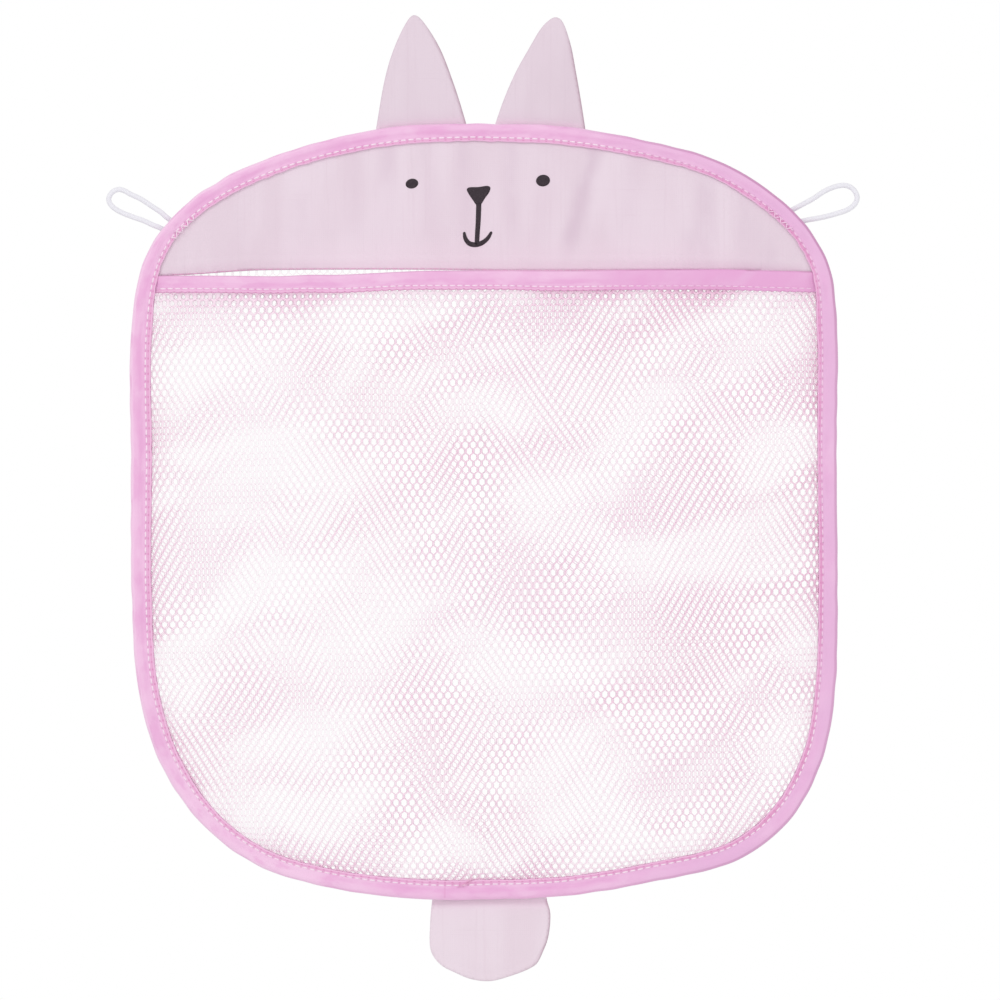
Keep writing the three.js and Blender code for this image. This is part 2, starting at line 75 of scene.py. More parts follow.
CAMERA_DISTANCE, PIXEL, PICTURE_SIDE, SENSOR_WIDTH = 3.0, 0.465 * MM, 1000, 36
VIEW_ACROSS, VIEW_DOWN, ORIGIN_DROP = 14 * PIXEL, 378 * PIXEL, 4 * MM
camera_data = bpy.data.cameras.new("straight_view")
camera_data.sensor_width = SENSOR_WIDTH
camera_data.lens = SENSOR_WIDTH * CAMERA_DISTANCE / (PICTURE_SIDE * PIXEL)
camera = new_object("straight_view", camera_data)
camera.location = (VIEW_ACROSS, -CAMERA_DISTANCE, ORIGIN_DROP - VIEW_DOWN)
camera.rotation_euler = (math.pi / 2, 0, 0)
bpy.context.scene.camera = camera
bpy.context.scene.view_settings.view_transform = "Standard"
print("lens in mm:", round(camera_data.lens, 1))

# %% [markdown]
# ## The pattern the bag is cut to
# A sewer starts from a paper pattern. Ours is the outer edge of the bag: a list of places across
# and down, joined by one smooth closed curve. Everything else is measured from this edge, as a
# sewer measures a seam: the tape shows 7.6 to 9.8 mm wide, and its stitches run 5.8 to 7.5 mm in. The
# curve is the centripetal kind, which never loops or overshoots between close points.

# %% Smooth curves and even spacing
def curve_through(points, steps, closed=False):
    """Points on a centripetal Catmull-Rom curve, with so many steps from each given point to the next."""
    p = np.asarray(points, float)
    ends = (p[-1:], p[:2]) if closed else (2 * p[:1] - p[1:2], 2 * p[-1:] - p[-2:-1])
    p = np.vstack([ends[0], p, ends[1]])
    gap = np.linalg.norm(np.diff(p, axis=0), axis=1) ** 0.5
    t = np.arange(steps)[:, None] / steps
    spans = []
    for i in range(1, len(p) - 2):
        before, start, end, after = p[i - 1:i + 3]
        a, b, c = gap[i - 1:i + 2]
        leave = end - start + b * ((start - before) / a - (end - before) / (a + b))
        arrive = end - start + b * ((after - end) / c - (after - start) / (b + c))
        spans.append((2 * t**3 - 3 * t**2 + 1) * start + (t**3 - 2 * t**2 + t) * leave
                     + (3 * t**2 - 2 * t**3) * end + (t**3 - t**2) * arrive)
    return np.vstack(spans if closed else [*spans, p[-2:-1]])


def length_along(line):
    """How far along a line each of its points is."""
    return np.concatenate([[0], np.cumsum(np.linalg.norm(np.diff(line, axis=0), axis=1))])


def read_off(line, keys, at):
    """The places on a line where its keys, one for each of its points, have these values."""
    return np.stack([np.interp(at, keys, column) for column in line.T], axis=1)


def at_lengths(line, lengths):
    """The places at these lengths along a line."""
    return read_off(line, length_along(line), lengths)


def smoothstep(x, low, high):
    t = np.clip((x - low) / (high - low), 0, 1)
    return t * t * (3 - 2 * t)


def columns(*parts):
    """Arrays or single numbers side by side, as the columns of one array."""
    return np.stack(np.broadcast_arrays(*parts), axis=1)

# %% The outer edge
BODY_WIDTH, BODY_HEIGHT, EDGE_STEPS, TOP_IN_MM = 328 * MM, 362.5 * MM, 64, ORIGIN_DROP / MM
BODY_OUTLINE_SHARES = [
    [0.0089, 0.0028], [0.1088, 0.0059], [0.2217, 0.0232], [0.3209, 0.0473], [0.3976, 0.0858],
    [0.4551, 0.1344], [0.487, 0.1876], [0.4975, 0.2601], [0.4966, 0.42], [0.4982, 0.587], [0.4947, 0.7278],
    [0.4774, 0.8145], [0.4313, 0.8945], [0.3575, 0.946], [0.2363, 0.9742], [0.1093, 0.9926],
    [0.0001, 0.997], [-0.0721, 0.9974], [-0.2039, 0.9849], [-0.3185, 0.9555], [-0.3976, 0.9048],
    [-0.4589, 0.8268], [-0.4923, 0.7285], [-0.5021, 0.6001], [-0.5029, 0.433], [-0.5026, 0.2658],
    [-0.485, 0.1789], [-0.4493, 0.1276], [-0.385, 0.079], [-0.2741, 0.036], [-0.1398, 0.0076],
    [-0.0209, 0.0025],
]
bag_edge = curve_through([[across * BODY_WIDTH, ORIGIN_DROP - down * BODY_HEIGHT]
                          for across, down in BODY_OUTLINE_SHARES], EDGE_STEPS, closed=True)
bag_edge = np.vstack([bag_edge, bag_edge[:1]])
EDGE_LENGTH = length_along(bag_edge)[-1]


def round_the_edge(count):
    """Places evenly round the edge, and the direction inwards at each."""
    lengths = np.arange(count) / count * EDGE_LENGTH
    ahead = at_lengths(bag_edge, (lengths + 2 * MM) % EDGE_LENGTH)
    behind = at_lengths(bag_edge, (lengths - 2 * MM) % EDGE_LENGTH)
    along = (ahead - behind) / np.linalg.norm(ahead - behind, axis=1)[:, None]
    return at_lengths(bag_edge, lengths), columns(along[:, 1], -along[:, 0]), lengths


def edge_moved_in(inset, count=720):
    places, inward, _ = round_the_edge(count)
    return places + inward * inset


print("edge length in mm:", round(EDGE_LENGTH / MM, 1))

# %% Inside an outline, and how far from the edge
def is_inside(outline, points):
    """For each point, whether it is inside a closed outline."""
    a, b = outline, np.roll(outline, -1, axis=0)
    x, z = points[:, :1], points[:, 1:]
    crosses = (a[:, 1] > z) != (b[:, 1] > z)
    rise = np.where(b[:, 1] == a[:, 1], 1, b[:, 1] - a[:, 1])
    left_of = x < a[:, 0] + (z - a[:, 1]) / rise * (b[:, 0] - a[:, 0])
    return (crosses & left_of).sum(axis=1) % 2 == 1


def distance_to(line, points, chunk=2000):
    """How far each point is from the nearest point of a line."""
    return np.concatenate([
        np.sqrt(((points[i:i + chunk, None] - line[None]) ** 2).sum(axis=2).min(axis=1))
        for i in range(0, len(points), chunk)])


def from_edge(x, z):
    """How far places are from the bag's outer edge, of which every sixth point is near enough."""
    return distance_to(bag_edge[::6], columns(x, z))


def after_gap(points):
    """A cut closed line, its points in order from just after the cut."""
    steps = np.linalg.norm(np.diff(np.vstack([points, points[:1]]), axis=0), axis=1)
    return np.roll(points, -(np.argmax(steps) + 1), axis=0)


BAG_MIDDLE = Vector((0, 0, -0.18))
to_edge = from_edge(np.array([BAG_MIDDLE.x]), np.array([BAG_MIDDLE.z]))[0]
print("the middle is so many mm from the edge:", round(to_edge / MM))

# %% The pocket's lines and how far it stands out
HEM_WIDTH, NET_BORDER, POCKET_INSET = 8.6 * MM, 3 * MM, 10.1 * MM
BELLY_BULGE, MOUTH_BULGE, BELLY_HEIGHT_SHARE = 22 * MM, 12 * MM, 0.4
# Places across and heights, in mm, of the top of the pocket's hem and of the foot of the face panel
HEM_LINE = [(-165, -67.9), (-149, -67.6), (-119, -67.8), (-96, -68.1), (-82, -67.5), (-68, -67.5),
            (-54, -66.9), (-40, -66.2), (-26, -65.7), (-12, -65.6), (6.5, -65.5), (25, -65.6),
            (43.7, -65.6), (62, -65.2), (81, -64.9), (109, -64.8), (130, -65.3), (146, -65.6), (165, -65.9)]
PANEL_LINE = [(-165, -67.5), (-146, -67.5), (-135, -67.0), (-124, -66.2), (-110, -65.3), (-96, -64.95),
              (-68, -64.8), (-40, -64.8), (-21, -64.9), (6.5, -65.4), (34, -65.5), (62, -65.3),
              (109, -65.2), (127, -65.6), (148, -66.1), (165, -66.4)]


def sewn_height(line, x):
    """Height of a sewn line at places across, eased between its known heights."""
    smooth = curve_through(np.array(line) * MM, 12)
    return np.interp(x, smooth[:, 0], smooth[:, 1])


pocket_edge = edge_moved_in(POCKET_INSET)
pocket_floor = pocket_edge[:, 1].min()
heights = np.linspace(pocket_floor + 0.2 * MM, sewn_height(HEM_LINE, 0), 240)
pocket_sides = np.array([
    [np.interp(h, side[order, 1], side[order, 0])
     for side in (pocket_edge[pocket_edge[:, 0] < 0], pocket_edge[pocket_edge[:, 0] > 0])
     for order in [np.argsort(side[:, 1])]]
    for h in heights])


def side_places(z):
    """Where the pocket's left and right sides are at a height."""
    return np.interp(z, heights, pocket_sides[:, 0]), np.interp(z, heights, pocket_sides[:, 1])


def pocket_bulge(x, z):
    """How far the pocket stands forward of its flat plane."""
    hem = sewn_height(HEM_LINE, x) - HEM_WIDTH - NET_BORDER
    height = np.minimum(z, hem)
    up = np.clip((height - pocket_floor) / (hem - pocket_floor), 0, 1)
    rise = np.sin(np.minimum(up / BELLY_HEIGHT_SHARE, 1) * math.pi / 2)
    middle = rise * (BELLY_BULGE + (MOUTH_BULGE - BELLY_BULGE) * smoothstep(up, BELLY_HEIGHT_SHARE, 1))
    left, right = side_places(height)
    across = np.clip((x - left) / np.maximum(right - left, MM), 0, 1)
    return middle * 4 * across * (1 - across)


print("belly stands out in mm:", round(float(pocket_bulge(np.array([0.0]), np.array([-0.24]))[0]) / MM, 1))

# %% [markdown]
# ## Helpers for meshes and node trees
# Two kinds of helper are used all through the file. `make_piece` turns arrays of points and faces
# into a mesh object. `wire` adds one node to a tree and gives back its output. Such a wire can be
# added, multiplied, ramped or mixed like a number, and each of these adds a node too, so a tree reads
# like a few lines of sums.

# %% Mesh helper
def make_piece(name, points, faces, material=None, uv=None, smooth=True):
    """A mesh object at the origin. uv is one pair for each point."""
    mesh = bpy.data.meshes.new(name)
    mesh.from_pydata(np.asarray(points, float).tolist(), [], [tuple(int(i) for i in f) for f in faces])
    if uv is not None:
        layer = mesh.uv_layers.new(name="cloth")
        corner = np.zeros(len(mesh.loops), np.int32)
        mesh.loops.foreach_get("vertex_index", corner)
        layer.data.foreach_set("uv", np.asarray(uv, np.float32)[corner].ravel())
    mesh.polygons.foreach_set("use_smooth", [smooth] * len(mesh.polygons))
    mesh.update()
    piece = new_object(name, mesh)
    if material:
        mesh.materials.append(material)
    return piece


def turn_faces_out(piece):
    """Makes every face of a closed piece point outwards."""
    work = bmesh.new()
    work.from_mesh(piece.data)
    bmesh.ops.recalc_face_normals(work, faces=work.faces)
    if work.calc_volume(signed=True) < 0:
        bmesh.ops.reverse_faces(work, faces=work.faces)
    open_edges = sum(len(e.link_faces) != 2 for e in work.edges)
    work.to_mesh(piece.data)
    work.free()
    piece.data.update()
    triangles = sum(len(p.vertices) - 2 for p in piece.data.polygons)
    print(f"{piece.name}: {triangles} triangles, {open_edges} open edges")
    return piece


# %% Node helpers
def plug(socket, value):
    """Sets an input socket to a value, or joins it to another node's output."""
    value = value.socket if isinstance(value, Wire) else value
    if isinstance(value, bpy.types.NodeSocket):
        socket.id_data.links.new(value, socket)
    else:
        socket.default_value = value


def wired(tree, kind, inputs=None, **settings):
    """The outputs of a new node with its settings, each named input set to a value or joined."""
    node = tree.nodes.new(kind)
    for setting, value in settings.items():
        setattr(node, setting, value)
    for key, value in (inputs or {}).items():
        plug(node.inputs[key], value)
    return node.outputs


def wire(tree, kind, inputs=None, at=0, **settings):
    return Wire(wired(tree, kind, inputs, **settings)[at])


# %% Wires, for sums and patterns
class Wire:
    """A node's output. Arithmetic and patterns made from it add nodes to its tree."""

    def __init__(self, socket):
        self.socket = socket

    def into(self, kind, inputs, at=0, **settings):
        return wire(self.socket.id_data, kind, inputs, at, **settings)

    def math(self, operation, *values):
        return self.into("ShaderNodeMath", dict(enumerate([self, *values])), operation=operation)

    def __add__(self, other):
        return self.math("ADD", other)

    def __sub__(self, other):
        return self.math("SUBTRACT", other)

    def __mul__(self, other):
        return self.math("MULTIPLY", other)

    def __truediv__(self, other):
        return self.math("DIVIDE", other)

    def parts(self):
        split = wired(self.socket.id_data, "ShaderNodeSeparateXYZ", {"Vector": self})
        return [Wire(part) for part in split]

    def vector_math(self, operation, *values, at=0):
        return self.into("ShaderNodeVectorMath", dict(enumerate([self, *values])), at,
                         operation=operation)

    def ramp(self, low, high, to_low=0.0, to_high=1.0):
        """A soft step from to_low at low to to_high at high, which may be the smaller of the two."""
        limits = {"From Min": low, "From Max": high, "To Min": to_low, "To Max": to_high}
        return self.into("ShaderNodeMapRange", {"Value": self, **limits}, interpolation_type="SMOOTHSTEP")

    def near(self, middle, half):
        """One on a line, falling to nothing half a width away."""
        return (self - middle).math("ABSOLUTE").ramp(half * 0.35, half, 1.0, 0.0)

    def mix(self, first, second):
        """The first colour where this is nothing, and the second where it is one."""
        return self.into("ShaderNodeMix", {0: self, 6: first, 7: second}, 2, data_type="RGBA")

    def noise(self, stretch, detail=2.0, turn=(0, 0, 0)):
        """Noise whose grains are so many per metre in each direction, with its directions turned."""
        place = self.into("ShaderNodeMapping", {"Vector": self, "Rotation": turn}) if any(turn) else self
        laid = self.into("ShaderNodeMapping", {"Vector": place, "Scale": stretch})
        return self.into("ShaderNodeTexNoise", {"Vector": laid, "Scale": 1.0, "Detail": detail,
                                                "Roughness": 0.55}, "Fac")

    def wave(self, scale, distortion, direction):
        sizes = {"Vector": self, "Scale": scale, "Distortion": distortion}
        return self.into("ShaderNodeTexWave", sizes, "Fac", wave_type="BANDS", bands_direction=direction)

    def attribute(self, name):
        return wire(self.socket.id_data, "ShaderNodeAttribute", at="Fac", attribute_name=name)


# %% Trees that make shapes
def new_shape_tree(name, sizes):
    """An empty tree that takes geometry, named sizes, a seed and a material, and these as wires."""
    tree = bpy.data.node_groups.new(name, "GeometryNodeTree")
    face = tree.interface
    face.new_socket("Geometry", in_out="INPUT", socket_type="NodeSocketGeometry")
    for size, value in sizes.items():
        face.new_socket(size, in_out="INPUT", socket_type="NodeSocketFloat").default_value = value
    face.new_socket("Seed", in_out="INPUT", socket_type="NodeSocketInt").default_value = 1
    face.new_socket("Material", in_out="INPUT", socket_type="NodeSocketMaterial")
    face.new_socket("Geometry", in_out="OUTPUT", socket_type="NodeSocketGeometry")
    return tree, {socket.name: Wire(socket) for socket in tree.nodes.new("NodeGroupInput").outputs}


def end_tree(tree, given, shape, merged_within=None):
    """Ends a tree: real geometry, doubles merged where asked, smooth faces and the material."""
    shape = shape.into("GeometryNodeRealizeInstances", {"Geometry": shape})
    if merged_within:
        shape = shape.into("GeometryNodeMergeByDistance", {"Geometry": shape, "Distance": merged_within})
    shape = shape.into("GeometryNodeSetShadeSmooth", {"Geometry": shape})
    shape = shape.into("GeometryNodeSetMaterial", {"Geometry": shape, "Material": given["Material"]})
    plug(tree.nodes.new("NodeGroupOutput").inputs[0], shape)
    return tree


def carrier_of(name, points, edges=()):
    """A mesh of bare points and edges, for a tree to work on."""
    mesh = bpy.data.meshes.new(name)
    mesh.from_pydata([tuple(p) for p in points], list(edges), [])
    return new_object(name, mesh)


def grow(name, carrier, tree, values):
    """Runs a tree on a carrier, keeps the result as a plain mesh and removes the carrier."""
    modifier = carrier.modifiers.new("shape", "NODES")
    modifier.node_group = tree
    identifiers = {item.name: item.identifier for item in tree.interface.items_tree
                   if item.in_out == "INPUT"}
    for size, value in values.items():
        modifier[identifiers[size]] = value
    graph = bpy.context.evaluated_depsgraph_get()
    mesh = bpy.data.meshes.new_from_object(carrier.evaluated_get(graph))
    mesh.name = name
    bpy.data.objects.remove(carrier)
    return new_object(name, mesh)


# %% [markdown]
# ## Finishes
# Each finish is one procedural material. Cloth is told by its thread: the cotton has a plain weave
# with thicker threads here and there, the tape is a smooth satin weave that catches light and has more
# light and shade painted along its folds, the net is a round glossy yarn, the cord is ribbed. Patterns
# are laid out in metres, so a thread has the same size on every piece. Some finishes also carry painted
# light and shade, named as such.

# %% Colours
def screen_colour(red, green, blue):
    """A screen colour from 0 to 255, as the linear numbers that a shader takes."""
    return (*[((c / 255 + 0.055) / 1.055) ** 2.4 for c in (red, green, blue)], 1.0)


# Colours whose names say painted light, shade or shadow stand for light and shade, not the cloth's own colour
SHADES = {name: screen_colour(*shade) for name, *shade in (
    ("cotton", 235, 219, 230), ("cotton_slub", 227, 208, 220), ("cotton_painted_fold_shade", 222, 202, 216),
    ("cotton_painted_light", 244, 228, 238), ("cotton_painted_edge_shade", 178, 142, 160),
    ("ear", 229, 213, 224), ("ear_slub", 222, 204, 216),
    ("tail", 237, 222, 232), ("tail_slub", 231, 213, 224),
    ("tape", 241, 191, 227), ("tape_mottle_and_painted_shade", 234, 171, 217), ("tape_lip", 242, 190, 224),
    ("tape_mottle_and_painted_light", 247, 208, 236), ("tape_painted_right_shade", 232, 184, 222), ("tape_holes_and_painted_shade", 216, 128, 182),
    ("tape_painted_rim_shade", 208, 150, 192), ("tape_painted_top_shadow", 160, 92, 128),
    ("net", 250, 198, 230), ("net_painted_shade", 244, 174, 214), ("net_gathered", 252, 196, 232),
    ("thread", 254, 236, 248), ("thread_grain", 248, 216, 238),
    ("thread_shade", 236, 184, 214), ("thread_shade_grain", 226, 164, 200),
    ("cord", 243, 243, 248), ("cord_grain", 232, 231, 239), ("ink", 52, 44, 50), ("ink_grain", 66, 56, 63),
    ("floor", 246, 246, 247), ("floor_grain", 250, 250, 250))}
print("colours:", len(SHADES))

# %% A finish and its shader
def new_finish(name, roughness, sheen=0.0):
    """A material, with the uniform values on its shader's own sockets, and its Object coordinates."""
    material = bpy.data.materials.new(name)
    material.use_nodes = True
    inputs = material.node_tree.nodes["Principled BSDF"].inputs
    for key, value in (("Roughness", roughness), ("Specular IOR Level", 0.3), ("Sheen Weight", sheen),
                       ("Sheen Roughness", 0.5)):
        inputs[key].default_value = value
    return material, wire(material.node_tree, "ShaderNodeTexCoord", at="Object")


def dress(material, colour, relief=None, strength=0.0, depth=0.0, alpha=None):
    """Joins a material's colour, its fine relief and how much it covers to its shader."""
    inputs = material.node_tree.nodes["Principled BSDF"].inputs
    plug(inputs["Base Color"], colour)
    if alpha:
        plug(inputs["Alpha"], alpha)
    if relief:
        plug(inputs["Normal"], relief.into("ShaderNodeBump", {"Strength": strength, "Distance": depth,
                                                              "Height": relief}))
    return material


# %% Where shade is painted into the panel's folds
# Painted shade in the panel's folds, in mm: place across at no height, slant, half width, strength, heights
# it fades between
FOLD_SHADES = [
    (-10.7, 0.0, 7.0, 0.7, -64, -30), (52.5, 0.26, 8.0, 1.0, -72, -50), (11.5, 0.0, 7.0, 0.55, -66, -30),
    (-45.5, 0.0, 7.5, 0.7, -50, -12), (101.5, 0.0, 9.5, 0.7, -14, -30),
    (119.0, -0.06, 11.0, 0.65, -16, -38), (95.0, 0.0, 8.0, 0.5, -42, -56), (132.0, 0.0, 8.0, 0.6, -44, -58),
    (72.0, 0.16, 9.0, 0.35, -56, -30), (-83.0, 0.05, 9.0, 0.35, -24, -34),
    (-62.0, -0.05, 8.0, 0.3, -66, -30), (-112.0, 0.1, 9.0, 0.25, -70, -40),
    (28.0, 0.05, 8.0, 0.35, -66, -20), (-28.0, -0.06, 7.0, 0.35, -66, -20)]
print("folds shaded:", len(FOLD_SHADES))

# %% Cotton: plain weave with slubs
def make_cotton(name, shade, folds=()):
    """Cotton. Where it has no folds it is an ear or the tail, whose painted light and shade come from their
    attributes.
    """
    plain, slub = SHADES[shade], SHADES[shade + "_slub"]
    material, place = new_finish(name, 0.92, sheen=0.15)
    across, _, height = place.parts()
    slubs = place.noise((620, 620, 22)).math("MAXIMUM", place.noise((20, 900, 1500)) * 0.86).ramp(0.5, 0.8)
    colour = (slubs * 0.45).mix(plain, slub)
    colour = place.noise((38, 38, 13)).ramp(0.4, 0.66, 0.0, 0.6).mix(colour, slub)
    uneven = place.noise((90, 90, 45)).ramp(0.3, 0.65, 0.3, 1.0)
    # Shade painted into the panel's soft folds, patchy along each fold
    for at, slant, half, strength, gone, full in folds:
        away = (across - height * slant - at * MM).math("ABSOLUTE")
        fold = away.ramp(0, half * MM, 1, 0) * height.ramp(gone * MM, full * MM) * uneven
        colour = (fold * strength).mix(colour, SHADES["cotton_painted_fold_shade"])
    if folds:
        # Painted light near the panel's foot, where the pocket's hem in front of it would shade it
        foot = height.ramp(-46 * MM, -63 * MM) * (across - 15 * MM).math("ABSOLUTE").ramp(130 * MM, 70 * MM)
        marks = [(foot, 0.6, "cotton_painted_light")]
    else:
        # An ear or the tail: painted light where it meets the tape, and painted shade along its right edge
        marks = [(place.attribute("painted_light_by_tape"), 0.9, "cotton_painted_light"),
                 (place.attribute("shaded_edge"), 0.7, "cotton_painted_edge_shade")]
    for mark, strength, other in marks:
        colour = (mark * strength).mix(colour, SHADES[other])
    weave = place.wave(320.0, 0.4, "X").math("MAXIMUM", place.wave(320.0, 0.4, "Z"))
    return dress(material, colour, weave * 0.5 + slubs, 0.35, 0.12 * MM)


cotton = make_cotton("pale_cotton", "cotton", FOLD_SHADES)
ear_cotton = make_cotton("ear_cotton", "ear")
tail_cotton = make_cotton("tail_cotton", "tail")
print("cottons:", cotton.name, ear_cotton.name, tail_cotton.name)


# %% Tape: satin weave, with light and shade painted along its crease, lip and rim, and needle holes
def make_tape_finish(name, crease, stitch, pitch, lip_end, top_shadow_span):
    """Satin tape. Its cloth map is the length along it and the distance across it, in metres."""
    material, where = new_finish(name, 0.5, sheen=0.2)
    right, _, up = where.parts()
    place = wire(material.node_tree, "ShaderNodeUVMap", uv_map="cloth")
    along, across, _ = place.parts()
    rightwards, leftwards = right.ramp(20 * MM, 125 * MM), right.ramp(-20 * MM, -120 * MM)
    on_front = across.ramp(-4.2 * MM, -3.6 * MM)
    streaks = place.noise((42, 330, 1))
    patches = place.noise((24, 60, 1), detail=1.0)
    mottle = place.noise((70, 130, 1), detail=3.0)
    moved = across + (place.noise((60, 1, 1)) - 0.5) * (3.2 * MM)
    band = moved.ramp(*crease[:2]) * moved.ramp(*crease[2:], 1, 0)
    # Painted shade along the crease, weaker on the right, and in patches where the tape puckers
    layers = [(band * streaks.ramp(0.32, 0.62, 0.2, 0.9) * rightwards.ramp(0, 1, 0.8, 0.4), "tape_mottle_and_painted_shade"),
              (patches.ramp(0.45, 0.7, 0.0, 0.5), "tape_mottle_and_painted_shade")]
    if not top_shadow_span:
        # Paler patches low on the left, and painted light on the outer fold of the left side, which faces the
        # lamp
        low_left = right.ramp(-30 * MM, -100 * MM) * up.ramp(-250 * MM, -300 * MM)
        outer = across.ramp(2.4 * MM, 0.4 * MM) * on_front * leftwards
        pale = (low_left * patches.ramp(0.35, 0.75, 0.95, 0.5)).math("MAXIMUM", outer * 0.85)
        layers.append((pale, "tape_mottle_and_painted_light"))
    # Mottle lighter and darker at random, painted shade in patches on the right side, and the lip's own
    # colour
    layers += [(mottle.ramp(0.48, 0.66, 0.0, 0.4), "tape_mottle_and_painted_light"),
               (mottle.ramp(0.48, 0.34, 0.0, 0.5), "tape_mottle_and_painted_shade"),
               (patches.ramp(0.3, 0.6, 0.4, 0.8) * rightwards, "tape_painted_right_shade"),
               (across.ramp(stitch + 0.3 * MM, stitch + 1.0 * MM) * 0.8, "tape_lip")]
    # The needle holes, painted shade in a line under the stitches, a painted shadow along the free edge,
    # and a soft painted shade beside it on the right
    at_hole = (along / pitch + 0.5).math("FRACT").near(0.5, 0.2)
    patchy_shade = streaks.ramp(0.35, 0.6, 0.3, 1.0)
    layers += [(at_hole * across.near(stitch, 0.8 * MM) * 0.9 * 0.3, "tape_holes_and_painted_shade"),
               (across.near(stitch + 0.55 * MM, 0.4 * MM) * patchy_shade * 0.3, "tape_holes_and_painted_shade"),
               (across.near(lip_end, 0.45 * MM) * at_hole.ramp(0.0, 1.0, 0.45, 1.0) * 0.75, "tape_holes_and_painted_shade"),
               (across.near(lip_end - 0.3 * MM, 1.3 * MM) * rightwards * patchy_shade * 0.35, "tape_holes_and_painted_shade")]
    if top_shadow_span:
        # A painted shadow along the hem's folded top, and painted shade in diagonal creases on its right part
        crease_shade = place.noise((110, 30, 1), detail=1.0, turn=(0, 0, -0.8)).ramp(0.38, 0.6, 0.45, 1.0)
        layers += [(across.near(1.0 * MM, 0.75 * MM) * along.ramp(*top_shadow_span, 0.2, 0.8), "tape_painted_top_shadow"),
                   (right.ramp(50 * MM, 72 * MM) * crease_shade * 0.9, "tape_mottle_and_painted_shade")]
    else:
        # Painted shade on the outer rim of the right side, stronger higher up, and along the tape's
        # overlapped end
        rim = across.ramp(0.5 * MM, 1.9 * MM, 1, 0) * on_front * rightwards
        tape_end = along.near(JOIN_AT, 0.6 * MM) * across.ramp(-1 * MM, 0)
        layers += [(rim * up.ramp(-120 * MM, -50 * MM, 0.5, 1.0), "tape_painted_rim_shade"), (tape_end * 0.2, "tape_holes_and_painted_shade")]
    colour = SHADES["tape"]
    for share, shade in layers:
        colour = share.mix(colour, SHADES[shade])
    return dress(material, colour, place.wave(420.0, 0.6, "X") * 0.4 + streaks, 0.3, 0.1 * MM)


# %% Net yarn
def make_net_yarn():
    """Thin pink nylon that light goes through, so it is deeper where two layers cross."""
    material, place = new_finish("thin_pink_net_yarn", 0.6)
    across = place.parts()[0]
    bent = place.into("ShaderNodeTexNoise", {"Vector": place, "Scale": 14.0, "Detail": 1.0}, "Color")
    swirled = place.vector_math("ADD", bent.vector_math("MULTIPLY", (0.05, 0.05, 0.05)))
    bunched = place.attribute("gathered")
    cover = swirled.noise((14, 14, 36), turn=(0, 0.35, 0)).ramp(0.33, 0.66, 0.22, 0.085)
    cover = cover * (bunched * 1.5 + 1.0) * across.ramp(-150 * MM, 70 * MM, 0.84, 1.12)
    # Painted sheen and shade in slow clouds, and painted shade growing towards the right
    painted_clouds = place.noise((11, 11, 11), detail=1.0).ramp(0.3, 0.7, 0.0, 0.7)
    colour = (painted_clouds + across.ramp(-150 * MM, 150 * MM, 0.0, 0.3)).mix(SHADES["net"], SHADES["net_painted_shade"])
    return dress(material, (bunched * 0.8).mix(colour, SHADES["net_gathered"]), alpha=cover)


net_yarn = make_net_yarn()


# %% Sewing thread, cord and print
def make_plain_yarn(name, shade, roughness, grain, sheen, strength, right_colour=None):
    """Yarn that is a little darker in places, with fine twisted fibres. It may change towards the right."""
    material, place = new_finish(name, roughness, sheen)
    fibres = place.noise((grain, grain, grain), detail=4.0)
    colour = fibres.ramp(0.35, 0.7).mix(SHADES[shade], SHADES[shade + "_grain"])
    if right_colour:
        across, _, height = place.parts()
        there = across.ramp(45 * MM, 85 * MM) * height.ramp(-290 * MM, -240 * MM)
        colour = (there * 0.6).mix(colour, right_colour)
    return dress(material, colour, fibres, strength, 0.08 * MM)


sewing_thread = make_plain_yarn("pale_sewing_thread", "thread", 0.55, 3500, 0.2, 0.5, SHADES["tape"])
shade_thread = make_plain_yarn("deeper_sewing_thread", "thread_shade", 0.7, 3500, 0.1, 0.5)
cord_cover = make_plain_yarn("white_ribbed_cord", "cord", 0.8, 2600, 0.3, 0.5)
print_ink = make_plain_yarn("dark_print", "ink", 0.85, 1800, 0.1, 0.6)
for finish in bpy.data.materials:
    print("finish:", finish.name)

# %% [markdown]
# ## Cord loops
# A loop is a short piece of white elastic cord, covered with a braid that shows as fine ribs. Both
# its ends are sewn behind the tape, and its middle sticks out. The cord is one continuous tube on
# a smooth route, so it is made by sweeping a circle along a curve whose radius waves in and out once
# for each rib.

# %% Tree: a ribbed cord along a line
def make_cord_tree():
    tree, given = new_shape_tree("ribbed_cord", {"Diameter": 2.5 * MM, "Rib pitch": 0.5 * MM,
                                                 "Rib depth": 0.12 * MM})
    line = wire(tree, "GeometryNodeMeshToCurve", {"Mesh": given["Geometry"]})
    even = wire(tree, "GeometryNodeResampleCurve", {"Curve": line, "Length": given["Rib pitch"] / 4.0},
                mode="LENGTH")
    along = wire(tree, "GeometryNodeSplineParameter", at="Length")
    wave = ((along / given["Rib pitch"] * (2 * math.pi)).math("SINE") + -1.0) * 0.5
    radius = given["Diameter"] * 0.5 + wave * given["Rib depth"]
    ring = wire(tree, "GeometryNodeCurvePrimitiveCircle", {"Resolution": 12, "Radius": 1.0})
    tube = wire(tree, "GeometryNodeCurveToMesh", {"Curve": even, "Profile Curve": ring, "Scale": radius,
                                                  "Fill Caps": True})
    return end_tree(tree, given, tube, 0.001 * MM)


cord_tree = make_cord_tree()

